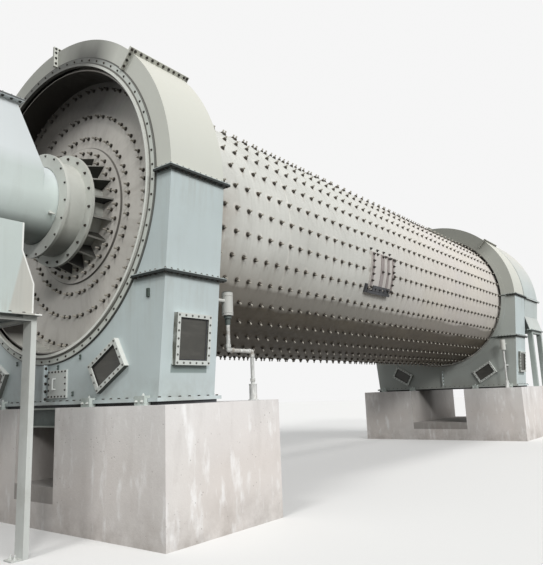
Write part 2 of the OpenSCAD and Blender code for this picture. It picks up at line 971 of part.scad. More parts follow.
module discharge_window_panes() {
  color([0.22, 0.22, 0.23]) {
    shoe_window_place(disch_case_x - frame_out / 2)
      shoe_pane();
    side_window_place(disch_x)
      side_pane();
  }
}

// Feed chute, box and frame.

// The hopper outline seen from the side, shrunk by t.
module hopper_profile(t) {
  polygon([[-chute_end + t, axis_h], [-slope_x - t, axis_h], [-slope_x - t, slope_z],
    [-mouth_x - t, mouth_z + t], [-chute_end + t, mouth_z + t]]);
}

module hopper_solid(t) {
  translate([0, pipe_r - t, 0])
    rotate([90, 0, 0])
      linear_extrude(height = 2 * (pipe_r - t))
        hopper_profile(t);
}

module feed_chute() {
  color([0.74, 0.79, 0.79])
    difference() {
      union() {
        disc_x(-chute_end, chute_end - pipe_tip, pipe_r);
        hopper_solid(0);
        block([-chute_end - mouth_out, -pipe_r - mouth_out, mouth_z - mouth_flange_t],
          [-mouth_x + mouth_out, pipe_r + mouth_out, mouth_z]);
      }
      disc_x(-chute_end + chute_t, chute_end, pipe_r - chute_t);
      hopper_solid(chute_t);
    }
}

// The box outline seen across the mill, drawn in by t and down to foot.
module box_profile(t, foot) {
  top = box_len / 2 - t;
  low = box_len / 2 + box_flare - t;
  translate([box_mid_x, 0])
    polygon([[-low, foot], [-low, box_low_z], [-top, box_bend_z], [-top, box_top_z - t],
      [top, box_top_z - t], [top, box_bend_z], [low, box_low_z], [low, foot]]);
}

module feed_box() {
  color([0.72, 0.78, 0.77]) {
    difference() {
      union() {
        translate([0, box_w, 0])
          rotate([90, 0, 0])
            linear_extrude(height = 2 * box_w)
              box_profile(0, box_foot_z - joint_t / 2);
        block([box_mid_x - frame_len / 2 - box_foot_out, -box_w - box_foot_out, box_foot_z - joint_t],
          [box_mid_x + frame_len / 2 + box_foot_out, box_w + box_foot_out, box_foot_z]);
      }
      translate([0, box_w - chute_t, 0])
        rotate([90, 0, 0])
          linear_extrude(height = 2 * (box_w - chute_t))
            box_profile(chute_t, box_foot_z);
    }
    for (x = [-chute_end + 120, -box_x - 140])
      difference() {
        block([x, -pipe_r, box_top_z - 1], [x + 40, pipe_r, axis_h - pipe_r + 60]);
        disc_x(x - 1, 42, pipe_r);
      }
  }
}

module feed_support_frame() {
  top = box_foot_z - joint_t;
  beam_z = top - packer_h - beam_h;
  x_out = frame_len / 2 + leg_out;
  y_out = box_w - leg_inset;
  color([0.66, 0.68, 0.67])
    translate([box_mid_x, 0, 0])
      for (m = [0, 1])
        mirror([m, 0, 0]) {
          for (n = [0, 1])
            near_half_mirror(n) {
              block([x_out - leg_w, -y_out, 0], [x_out, -y_out + leg_d, beam_z + 1]);
              block([x_out - leg_d, -y_out, beam_z], [x_out, -y_out + leg_d, top]);
              block([-1, -y_out, beam_z], [x_out, -y_out + leg_d / 2, beam_z + beam_h]);
            }
          block([x_out - leg_d / 2, -y_out, beam_z], [x_out, y_out, beam_z + beam_h]);
        }
}

// Discharge hood.

module discharge_hood_arch() {
  color([0.70, 0.75, 0.73])
    difference() {
      union() {
        slab_x(hood_x + hood_len - plate_t, plate_t)
          intersection() {
            case_outline(0, hood_split_z - 500);
            translate([-big, hood_split_z])
              square([2 * big, big]);
          }
        slab_x(hood_x + joint_out + 4, hood_len - joint_out - 4)
          intersection() {
            difference() {
              case_outline(0, hood_split_z - 500);
              case_outline(plate_t, hood_split_z - 500);
            }
            translate([-big, hood_split_z])
              square([2 * big, big]);
          }
        hood_flange(hood_split_z);
      }
      disc_x(hood_x + hood_len - 50, 100, hood_open_r);
    }
}

module hood_flange(z) {
  w = hood_top_w;
  difference() {
    block([hood_x + joint_out + 4, -w - joint_out, z],
      [hood_x + hood_len + joint_out, w + joint_out, z + joint_t]);
    block([hood_x, -w + plate_t, z - 1], [hood_x + hood_len - plate_t / 2, w - plate_t, z + joint_t + 1]);
    disc_x(hood_x + hood_len - 50, 200, hood_seal_r + 2);
  }
}

// The skirt outline seen along the mill, shrunk by t.
module skirt_profile(t) {
  foot = hood_foot_z - joint_t / 2;
  polygon([[-hood_top_w + t, hood_split_z], [-hood_bend_w + t, hood_bend_z], [-hood_foot_w + t, foot],
    [hood_foot_w - t, foot], [hood_bend_w - t, hood_bend_z], [hood_top_w - t, hood_split_z]]);
}

module discharge_hood_skirt() {
  y_foot = hood_foot_w;
  color([0.70, 0.75, 0.73])
    difference() {
      union() {
        slab_x(hood_x + joint_out + 4, hood_len - joint_out - 4)
          difference() {
            skirt_profile(0);
            skirt_profile(plate_t);
          }
        slab_x(hood_x + hood_len - plate_t, plate_t)
          skirt_profile(0);
        hood_flange(hood_split_z - joint_t);
        difference() {
          block([hood_x + joint_out + 4, -y_foot - joint_out, hood_foot_z - joint_t],
            [hood_x + hood_len + joint_out, y_foot + joint_out, hood_foot_z]);
          block([hood_x, -y_foot + 1.5 * joint_out, hood_foot_z - 50],
            [hood_x + hood_len - plate_t, y_foot - 1.5 * joint_out, hood_foot_z + 50]);
        }
      }
      disc_x(hood_x + hood_len - 50, 100, hood_open_r);
    }
}

module hood_seal_ring() {
  color([0.66, 0.69, 0.68])
    tube_x(hood_x + hood_len, 30, hood_seal_r, hood_seal_r - hood_seal_w);
}

module discharge_hood_trestle() {
  top = hood_foot_z - joint_t;
  y_out = hood_foot_w - fit_gap * 50;
  color([0.66, 0.69, 0.68])
    for (m = [0, 1])
      near_half_mirror(m) {
        for (x = [hood_x + 280, hood_x + hood_len - trestle_w - 60])
          block([x, -y_out, pier_h], [x + trestle_w, -y_out + trestle_w, top]);
        block([hood_x + 281, -y_out, top - rail_h], [hood_x + hood_len - 61, -y_out + trestle_w, top]);
      }
}

mill_shell();
manhole_cover();
feed_slide_ring();
discharge_slide_ring();
feed_head();
discharge_head();
feed_neck();
feed_neck_ribs();
torque_tube();
feed_casing_base();
feed_casing_near_side();
feed_casing_far_side();
feed_casing_near_haunch();
feed_casing_far_haunch();
feed_casing_crown();
feed_seal_ring();
feed_window_frames();
feed_window_panes();
feed_drain_cover();
feed_slide_shoes();
feed_shoe_pedestals();
feed_sole_frame();
feed_pier();
feed_cross_beams();
feed_vent_canister();
discharge_casing_base();
discharge_casing_near_side();
discharge_casing_far_side();
discharge_casing_near_haunch();
discharge_casing_far_haunch();
discharge_casing_crown();
discharge_window_frames();
discharge_window_panes();
discharge_slide_shoes();
discharge_shoe_pedestals();
discharge_sole_frame();
discharge_pier();
discharge_vent_canister();
feed_chute();
feed_box();
feed_support_frame();
discharge_hood_arch();
discharge_hood_skirt();
discharge_hood_trestle();
hood_seal_ring();
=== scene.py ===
import math
import bpy
import numpy as np
from mathutils import Matrix, Vector


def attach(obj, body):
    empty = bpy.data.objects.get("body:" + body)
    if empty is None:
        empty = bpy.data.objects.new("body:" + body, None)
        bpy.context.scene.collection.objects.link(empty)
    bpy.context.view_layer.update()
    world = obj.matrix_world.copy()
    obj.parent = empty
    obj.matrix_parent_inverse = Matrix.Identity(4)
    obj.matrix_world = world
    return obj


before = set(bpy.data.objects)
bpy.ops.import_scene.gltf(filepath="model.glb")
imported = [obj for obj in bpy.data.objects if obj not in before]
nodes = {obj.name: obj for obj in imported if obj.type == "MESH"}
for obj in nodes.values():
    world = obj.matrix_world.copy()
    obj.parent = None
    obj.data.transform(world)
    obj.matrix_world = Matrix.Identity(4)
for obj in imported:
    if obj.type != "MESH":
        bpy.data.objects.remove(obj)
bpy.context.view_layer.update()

# Measures repeated from the CAD model, in metres and degrees
AXIS_Z = 3.98
SPAN = 12.91
SHELL_R = 1.85
ROW_X, ROW_PITCH = 0.932, 0.25
ROW_COUNT, ROW_DEG, ROW_TURN = 36, 10.0, -0.63
HEAD_OUT = 0.03
HUB_R, HUB_STEP = 0.95, 0.024
RING_BORE_R, NO_BORE = 1.8895, 0.1
SEAL_R, SEAL_LIP_R = 2.054, 1.9315
CASE_R, CASE_T = 2.300, 0.006
FEED_HALF, DISCH_HALF = 0.4245, 0.46
FEED_X0, FEED_X1 = -FEED_HALF, FEED_HALF
DISCH_X0, DISCH_X1 = SPAN - DISCH_HALF, SPAN + DISCH_HALF
LEAN = math.radians(5.2)
PIER_H = 1.391
BASE_Z = 1.427
FOOT_W = 2.077
JOINT = 0.060
PLATE = 0.016
LOW_Z = AXIS_Z - 1.177
HIGH_Z = AXIS_Z - 0.022
HOOD_X1 = DISCH_X1 + 1.452
HOOD_JOINT_Z = AXIS_Z - 0.04
SIDE_WIN_Z, SIDE_WIN_W, SIDE_WIN_H = AXIS_Z - 1.89, 0.530, 0.566
SHOE_WIN_R, SHOE_WIN_LEAN, SHOE_WIN_W, SHOE_WIN_H = 2.482, math.radians(30.5), 0.575, 0.370
WIN_OUT, WIN_BAR = 0.060, 0.05
CLAMP_Y, CLAMP_Y_OUT = 0.96, 1.905
FEED_VENT, DISCH_VENT = (FEED_X1 + 0.242, -2.1), (DISCH_X1 + 0.242, -1.9)
BOX_X, BOX_TOP, BOX_FOOT = -2.33, AXIS_Z - 0.985, AXIS_Z - 1.635
MOUTH_X0, MOUTH_X1, MOUTH_Y = -2.535, -1.235, 0.544
MOUTH_Z0, MOUTH_Z1 = 5.03, 5.06

# A fastener stands this far off the face that carries it
GAP = 0.0003


def wall_y(z):
    """Where the leaning wall of a casing stands at a height."""
    return (CASE_R - (AXIS_Z - z) * math.sin(LEAN)) / math.cos(LEAN)


def chord(r, z):
    """Half the width of a circle about the mill axis at a height."""
    return math.sqrt(max(r * r - (z - AXIS_Z) ** 2, 0.0))


# Materials
def srgb(r, g, b):
    """A colour of 0 to 255 as the linear values that a shader takes."""
    def linear(v):
        v /= 255.0
        return v / 12.92 if v <= 0.04045 else ((v + 0.055) / 1.055) ** 2.4
    return (linear(r), linear(g), linear(b), 1.0)


def shade(colour, k):
    return tuple(min(v * k, 1.0) for v in colour[:3]) + (1.0,)


class Tree:
    """The nodes of a material or of the world, with short names for sums and masks."""

    def __init__(self, owner):
        owner.use_nodes = True
        self.tree = owner.node_tree
        self.tree.nodes.clear()

    def new(self, kind, **settings):
        node = self.tree.nodes.new(kind)
        for key, value in settings.items():
            setattr(node, key, value)
        return node

    def link(self, a, b):
        self.tree.links.new(a, b)

    def put(self, socket, value):
        """Links a socket or sets its value, where a tuple of three is an sRGB colour of 0 to 255."""
        if hasattr(value, "is_linked"):
            self.link(value, socket)
        elif isinstance(value, tuple) and len(value) == 3:
            socket.default_value = srgb(*value)
        else:
            socket.default_value = value

    def math(self, operation, a, b=0.0):
        node = self.new("ShaderNodeMath", operation=operation)
        self.put(node.inputs[0], a)
        self.put(node.inputs[1], b)
        return node.outputs[0]

    def add(self, a, b):
        return self.math("ADD", a, b)

    def sub(self, a, b):
        return self.math("SUBTRACT", a, b)

    def less(self, a, b):
        return self.math("LESS_THAN", a, b)

    def more(self, a, b):
        return self.math("GREATER_THAN", a, b)

    def size(self, a):
        return self.math("ABSOLUTE", a)

    def away(self, a, b):
        """The distance of a from b."""
        return self.size(self.sub(a, b))

    def mul(self, *factors):
        out = factors[0]
        for factor in factors[1:]:
            out = self.math("MULTIPLY", out, factor)
        return out

    def either(self, *masks):
        out = masks[0]
        for mask in masks[1:]:
            out = self.math("MAXIMUM", out, mask)
        return out

    def ramp(self, value, lo, hi, a=0.0, b=1.0):
        """Goes from a to b while the value goes from lo to hi."""
        node = self.new("ShaderNodeMapRange")
        self.link(value, node.inputs[0])
        for i, limit in enumerate((lo, hi, a, b)):
            node.inputs[i + 1].default_value = limit
        return node.outputs[0]

    def band(self, value, a, b, soft):
        """1 between a and b, with soft edges."""
        return self.mul(self.ramp(value, a - soft, a), self.ramp(value, b, b + soft, 1.0, 0.0))

    def mix(self, amount, a, b):
        node = self.new("ShaderNodeMix", data_type="RGBA")
        self.put(node.inputs[0], amount)
        self.put(node.inputs[6], a)
        self.put(node.inputs[7], b)
        return node.outputs[2]

    def over(self, col, top, *masks):
        """A colour laid over another by masks."""
        return self.mix(self.mul(*masks), col, top)

    def seen(self):
        """1 for what the camera sees, also in a reflection or through glass."""
        rays = self.new("ShaderNodeLightPath").outputs
        mirrored = self.either(rays["Is Glossy Ray"], rays["Is Transmission Ray"])
        return self.either(rays["Is Camera Ray"], mirrored)


class Graph(Tree):
    """A small helper that lays out one node material."""

    def __init__(self, name):
        self.mat = bpy.data.materials.new(name)
        super().__init__(self.mat)
        output = self.new("ShaderNodeOutputMaterial")
        self.bsdf = self.new("ShaderNodeBsdfPrincipled")
        self.link(self.bsdf.outputs[0], output.inputs[0])
        self.coord = self.new("ShaderNodeTexCoord").outputs["Object"]
        self.facing = None

    def stretch(self, scale, vec=None):
        node = self.new("ShaderNodeVectorMath", operation="MULTIPLY")
        self.link(vec or self.coord, node.inputs[0])
        node.inputs[1].default_value = scale
        return node.outputs[0]

    def noise(self, scale, detail, rough, vec=None):
        node = self.new("ShaderNodeTexNoise")
        self.link(vec or self.coord, node.inputs["Vector"])
        node.inputs["Scale"].default_value = scale
        node.inputs["Detail"].default_value = detail
        node.inputs["Roughness"].default_value = rough
        return node.outputs["Fac"]

    def patch(self, scale, detail, rough, lo, hi, a=0.0, b=1.0, vec=None):
        """Noise that goes from a to b."""
        return self.ramp(self.noise(scale, detail, rough, vec), lo, hi, a, b)

    def xyz(self, vec=None):
        node = self.new("ShaderNodeSeparateXYZ")
        self.link(vec or self.coord, node.inputs[0])
        return node.outputs[0:3]

    def join(self, x, y, z):
        node = self.new("ShaderNodeCombineXYZ")
        for i, value in enumerate((x, y, z)):
            self.put(node.inputs[i], value)
        return node.outputs[0]

    def normal(self):
        """The way the face looks, as x, y and z in the piece's own frame."""
        if self.facing is None:
            geometry = self.new("ShaderNodeNewGeometry")
            back = self.new("ShaderNodeVectorTransform", vector_type="NORMAL")
            back.convert_from = "WORLD"
            back.convert_to = "OBJECT"
            self.link(geometry.outputs["Normal"], back.inputs[0])
            self.facing = self.xyz(back.outputs[0])
        return self.facing

    def polar(self):
        """x, distance from the mill axis, and the angle above the near side in radians."""
        x, y, z = self.xyz()
        up = self.sub(z, AXIS_Z)
        r = self.math("SQRT", self.add(self.mul(y, y), self.mul(up, up)))
        return x, r, self.math("ARCTAN2", up, self.mul(y, -1.0))

    def bump(self, height, strength, distance):
        node = self.new("ShaderNodeBump")
        node.inputs["Strength"].default_value = strength
        node.inputs["Distance"].default_value = distance
        self.link(height, node.inputs["Height"])
        self.link(node.outputs[0], self.bsdf.inputs["Normal"])

    def done(self, colour, rough, metallic, specular):
        self.put(self.bsdf.inputs["Base Color"], colour)
        self.put(self.bsdf.inputs["Roughness"], rough)
        self.bsdf.inputs["Metallic"].default_value = metallic
        self.bsdf.inputs["Specular IOR Level"].default_value = specular
        return self.mat


def paint(name, base, top, dirt, streak, darkening, dust, chips, rust, under_shade, rough, extra=None, specular=0.35):
    """Shop paint with cloudy tone, runs, dust on top faces, chips, rust, and undersides darkened as painted
    shade with some dirt.
    """
    g = Graph(name)
    base = srgb(*base)
    up = g.normal()[2]
    col = g.mix(g.patch(0.8, 5.0, 0.6, 0.3, 0.7), shade(base, 0.93), shade(base, 1.05))
    cool = g.patch(0.33, 2.0, 0.5, 0.42, 0.62, 0.0, 0.35)
    col = g.mix(cool, col, g.mix(0.5, base, (190, 192, 202)))
    runs = g.noise(1.0, 6.0, 0.65, g.stretch((9.0, 9.0, 0.5)))
    col = g.over(col, dirt, g.ramp(runs, 0.5, 0.78), g.patch(0.7, 3.0, 0.5, 0.35, 0.65), streak)
    blot = g.mul(g.patch(2.6, 8.0, 0.7, 0.5, 0.8), darkening)
    col = g.mix(blot, col, dirt)
    col = g.over(col, top, g.ramp(up, 0.1, 0.6), g.patch(4.0, 5.0, 0.6, 0.3, 0.65, 0.6, 1.0), dust)
    bits = g.mul(g.patch(38.0, 3.0, 0.6, 0.70, 0.74), g.patch(1.7, 3.0, 0.6, 0.5, 0.62), chips)
    col = g.mix(bits, col, (120, 112, 104))
    rusty = g.patch(7.0, 9.0, 0.75, 0.66, 0.74)
    col = g.over(col, (128, 84, 54), rusty, rust * 5.0)
    # Faces that look down are darkened: painted shade, with some dirt
    col = g.mix(g.ramp(up, -0.55, -0.9, 0.0, under_shade), col, (34, 38, 36))
    if extra:
        col = extra(g, col)
    patchy = g.patch(14.0, 4.0, 0.6, 0.3, 0.7, rough - 0.06, rough + 0.08)
    g.bump(g.add(g.mul(g.noise(160.0, 2.0, 0.5), 0.2), g.noise(1.8, 3.0, 0.5)), 0.22, 0.004)
    return g.done(col, g.add(g.mul(blot, 0.5), patchy), 0.0, specular)


def casing_reach(g, r, y, z):
    """How far out a point lies, square to the leaning walls below and from the axis above."""
    up = g.sub(z, AXIS_Z)
    wall = g.sub(g.mul(g.size(y), math.cos(LEAN)), g.mul(up, math.sin(LEAN)))
    is_low = g.less(up, 0.0)
    return g.add(g.mul(wall, is_low), g.mul(r, g.sub(1.0, is_low)))


def casing_dirt_and_window_shadow(g, col, y, z):
    """Runs below the joints, dirt at the foot, and a painted shadow below the side windows."""
    x = g.xyz()[0]
    runs = g.noise(1.0, 5.0, 0.6, g.stretch((14.0, 14.0, 0.4)))
    for top in (LOW_Z - 0.02, HIGH_Z - 0.02):
        near = g.mul(g.ramp(z, top - 0.55, top), g.less(z, top), g.ramp(runs, 0.46, 0.7), 0.3)
        col = g.mix(near, col, (150, 148, 138))
    foot = g.mul(g.ramp(z, BASE_Z, BASE_Z + 0.35, 0.45, 0.0), g.patch(3.0, 6.0, 0.65, 0.35, 0.65))
    col = g.mix(foot, col, (128, 124, 114))
    # A painted shadow below the side windows
    height = g.band(z, SIDE_WIN_Z - 0.362, SIDE_WIN_Z - 0.275, 0.012)
    window_shadow = g.mul(height, g.more(g.size(y), 2.0), g.less(g.size(g.normal()[0]), 0.3))
    for mid in (0.0, SPAN):
        col = g.over(col, (78, 96, 90), window_shadow, g.less(g.away(x, mid), 0.275), 0.62)
    return col


def seal_line_and_crown_shadow(g, col, r, ang):
    """The dark line round the seal ring, and painted shadows on the upper face of the feed casing."""
    face = g.more(g.size(g.normal()[0]), 0.7)
    front = g.less(g.xyz()[0], -0.4)
    col = g.over(col, (44, 44, 40), g.band(r, SEAL_R - 0.01, SEAL_R + 0.008, 0.006), front, face, 0.85)
    # A painted shadow on the crown near 70 degrees, and a fainter painted shadow from 70 to 138 degrees
    patch = g.ramp(g.away(ang, math.radians(70.0)), 0.09, 0.30, 1.0, 0.0)
    col = g.over(col, (48, 48, 45), patch, face, 0.9, front, g.ramp(r, SEAL_R, 2.34, 1.0, 0.55))
    rise = g.ramp(ang, math.radians(70.0), math.radians(82.0))
    fall = g.ramp(ang, math.radians(112.0), math.radians(138.0), 1.0, 0.0)
    return g.over(col, (74, 74, 69), rise, fall, face, front, 0.5)


def casing_flanges(g, col, reach, z):
    """The edges of the split flanges are painted nearly black as shade, with a painted shadow below them."""
    x, past = g.xyz()[0], 0.004
    out = g.either(
        g.more(reach, CASE_R + past),
        g.less(x, FEED_X0 - past),
        g.mul(g.more(x, FEED_X1 + past), g.less(x, DISCH_X0 - past)),
        g.more(x, DISCH_X1 + past))
    out = g.mul(out, g.less(g.normal()[2], 0.5))
    for mid in (LOW_Z, HIGH_Z):
        # Painted shade on the edges and undersides of the flanges, and a painted shadow on the wall below
        # them
        edge = g.mul(out, g.band(z, mid - 0.017, mid + 0.010, 0.001))
        col = g.over(col, (20, 25, 22), edge, 0.97)
        darkening = g.mul(g.ramp(z, mid - 0.065, mid - 0.017), g.less(z, mid - 0.0165), 0.55)
        col = g.mix(darkening, col, (70, 78, 74))
    return col


def casing_extra(g, col):
    """A warmer crown, painted shade on the discharge face with a painted shadow near its top, dirt, painted
    shadows on the feed crown, flange edges painted dark as shade, and an inside painted dark as shade with
    some oil.
    """
    x, r, ang = g.polar()
    y, z = g.xyz()[1:3]
    reach = casing_reach(g, r, y, z)
    col = g.over(col, (200, 200, 190), g.ramp(z, HIGH_Z + 0.02, HIGH_Z + 0.05), 0.8)
    # The face of the discharge casing towards the drum is darkened as painted shade
    far = g.mul(g.more(x, 12.0), g.less(g.normal()[0], -0.5))
    col = g.over(col, (146, 149, 143), far, 0.75)
    # A painted shadow near the top of that face
    over_top = g.ramp(g.away(ang, math.radians(90.0)), 0.78, 0.98, 1.0, 0.0)
    col = g.over(col, (74, 74, 68), far, over_top, 0.55)
    col = casing_dirt_and_window_shadow(g, col, y, z)
    col = seal_line_and_crown_shadow(g, col, r, ang)
    col = casing_flanges(g, col, reach, z)
    # The inside is painted dark as shade, with some oil
    between = g.either(g.less(g.size(x), FEED_HALF - CASE_T), g.less(g.away(x, SPAN), DISCH_HALF - CASE_T))
    inside = g.mul(between, g.less(reach, CASE_R - CASE_T))
    return g.over(col, (30, 27, 23), inside, 0.93)


def seal_extra(g, col):
    """A bright edge with a dark line beside it, a painted shadow over the top, and a lip painted with shade
    that is dark at the top and light at the bottom.
    """
    x, r, _ = g.polar()
    z = g.xyz()[2]
    front = g.less(x, 3.0)
    col = g.over(col, (226, 228, 222), front, g.less(r, 1.964), 0.8)
    col = g.over(col, (72, 68, 62), front, g.band(r, 1.966, 1.986, 0.004), 0.85)
    # Painted shade on the lip, dark at the top and light at the bottom
    lip = g.mix(g.ramp(z, AXIS_Z - 1.72, AXIS_Z - 1.50), (168, 168, 161), (40, 36, 31))
    col = g.over(col, lip, front, g.less(r, SEAL_LIP_R), 0.9)
    # A painted shadow over the top of the ring
    col = g.over(col, (50, 50, 46), front, g.ramp(z, AXIS_Z + 1.56, AXIS_Z + 1.82, 0.0, 0.88))
    return g.over(col, (52, 50, 46), front, g.more(r, SEAL_R - 0.008), 0.8)


def frame_extra(g, col):
    """Painted shade on the flanks of the frames that face down, and on those of the side windows that face
    the feed end.
    """
    nx, _, nz = g.normal()
    # Painted shade on the flanks
    col = g.over(col, (48, 50, 45), g.less(nz, -0.3), g.less(g.size(nx), 0.5), 0.85)
    flank = g.mul(g.less(nx, -0.5), g.more(g.size(g.xyz()[1]), 2.13))
    return g.over(col, (76, 76, 66), flank, g.patch(9.0, 4.0, 0.6, 0.3, 0.6, 0.6, 0.95))


def painted_head_shadow(g, r, r0, r1, low, high):
    """A painted shadow on the outer part of the heads, growing towards the top and the far side."""
    y, z = g.xyz()[1:3]
    lean = g.add(g.mul(y, 0.45), g.mul(g.sub(z, AXIS_Z), 0.89))
    return g.mul(g.ramp(r, r0, r1), g.ramp(lean, low, high))


def head_extra(g, col):
    """A painted shadow round the step of the hub, runs outwards, and a painted shadow over the top and far
    side.
    """
    _, r, ang = g.polar()
    # A painted shadow round the step of the hub
    col = g.over(col, (48, 46, 42), g.band(r, HUB_R - 0.001, HUB_R + 0.010, 0.004), 0.7)
    runs = g.noise(1.0, 5.0, 0.6, g.join(0.0, g.mul(r, 1.2), g.mul(ang, 9.0)))
    col = g.mix(g.ramp(runs, 0.5, 0.75, 0.0, 0.3), col, (128, 120, 112))
    # A painted shadow over the top and far side
    return g.over(col, (42, 39, 35), painted_head_shadow(g, r, 0.82, 1.48, 0.38, 1.18), 0.89)


def rib_extra(g, col):
    """Painted highlights on the edges of the ribs, whose dark paint is painted shade with some soot."""
    # Painted highlights on the edges
    edge = g.ramp(g.size(g.normal()[0]), 0.25, 0.35)
    return g.over(col, (190, 190, 184), edge, 0.85)


def chute_extra(g, col):
    """A paler hopper and a dark edge between the mouth flanges."""
    z = g.xyz()[2]
    hopper = g.ramp(z, AXIS_Z + 0.25, AXIS_Z + 0.45)
    col = g.over(col, (216, 222, 225), hopper, 0.8)
    edge = g.band(z, MOUTH_Z0 + 0.004, MOUTH_Z1 - 0.004, 0.003)
    return g.over(col, (40, 43, 42), edge, g.less(g.normal()[2], 0.5), 0.9)


def box_extra(g, col):
    """On the sides of the box, a warm slanted facet with a stain beside it and a bright edge."""
    x, _, z = g.xyz()
    off = g.size(g.add(x, -BOX_X))
    side = g.more(g.size(g.normal()[1]), 0.7)
    edge = g.ramp(z, AXIS_Z - 1.32, BOX_TOP, 0.915, 0.78)
    facet = g.sub(off, g.ramp(z, BOX_FOOT, BOX_TOP, 0.64, 0.78))
    runs = g.noise(1.0, 5.0, 0.6, g.stretch((14.0, 14.0, 0.7)))
    near = g.mul(g.ramp(facet, -0.10, -0.02), g.ramp(z, BOX_FOOT, AXIS_Z - 1.15, 1.0, 0.0))
    col = g.over(col, (150, 138, 128), near, side, g.ramp(runs, 0.45, 0.6), 0.4)
    warm = g.mul(g.ramp(facet, 0.0, 0.02), g.less(z, BOX_TOP), side)
    tone = g.mix(g.ramp(runs, 0.35, 0.7), (172, 168, 160), (190, 187, 179))
    col = g.over(col, tone, warm, 0.7)
    line = g.mul(side, g.less(g.sub(edge, off), 0.017))
    return g.over(col, (232, 234, 230), line, 0.85)


def sole_extra(g, col):
    """The clamps, which stand out beyond the sole frame, have the casing's paint; the sole frame's
    near-black paint is painted shade.
    """
    x = g.xyz()[0]
    clamp = g.mul(g.more(g.size(x), FEED_HALF + 0.0202), g.more(g.away(x, SPAN), DISCH_HALF + 0.0203))
    tone = g.mix(g.patch(9.0, 5.0, 0.6, 0.35, 0.65), (160, 170, 165), (184, 192, 188))
    return g.over(col, tone, clamp, g.more(g.normal()[2], -0.5))


def beam_extra(g, col):
    """Pale edges of the two flanges of the cross beams."""
    z, low_edge, top_edge = g.xyz()[2], 1.1785, 1.3735
    edge = g.mul(g.add(g.more(z, top_edge), g.less(z, low_edge)), g.more(g.normal()[2], -0.5))
    return g.over(col, (158, 164, 158), edge, 0.85)


def vent_extra(g, col):
    """The pipe below the canister is galvanised and stained."""
    pipe_top = 2.412
    spangle = g.noise(30.0, 3.0, 0.6, g.stretch((1.0, 1.0, 0.25)))
    zinc = g.mix(g.ramp(spangle, 0.35, 0.65), (168, 170, 169), (214, 215, 212))
    stain = g.patch(6.0, 6.0, 0.7, 0.52, 0.64)
    zinc = g.mix(g.mul(stain, 0.7), zinc, (120, 108, 92))
    return g.mix(g.less(g.xyz()[2], pipe_top), col, zinc)


def nut_stains(g, col, x, ang, drum):
    """A dark spot with a pale ring at each liner bolt, and a run down from it."""
    row = math.radians(ROW_DEG)
    along_x = g.math("DIVIDE", g.sub(x, ROW_X - ROW_PITCH / 2), ROW_PITCH)
    round_it = g.math("DIVIDE", g.add(ang, math.radians(ROW_DEG / 2 - ROW_TURN)), row)
    dx = g.mul(g.sub(g.math("FRACT", along_x), 0.5), ROW_PITCH)
    da = g.mul(g.sub(g.math("FRACT", round_it), 0.5), row * SHELL_R)
    d = g.math("SQRT", g.add(g.mul(dx, dx), g.mul(da, da)))
    col = g.mix(g.ramp(d, 0.03, 0.07, 0.4, 0.0), col, (112, 104, 94))
    ring = g.mul(g.band(d, 0.045, 0.07, 0.015), g.patch(5.0, 3.0, 0.6, 0.45, 0.6, vec=drum))
    col = g.over(col, (232, 230, 224), ring, 0.35)
    run = g.mul(g.ramp(g.size(dx), 0.008, 0.035, 1.0, 0.0), g.ramp(da, -0.17, -0.03))
    run = g.mul(run, g.ramp(da, 0.0, 0.02, 1.0, 0.0), g.patch(6.0, 3.0, 0.6, 0.35, 0.65, vec=drum), 0.5)
    return g.mix(run, col, (124, 112, 100))


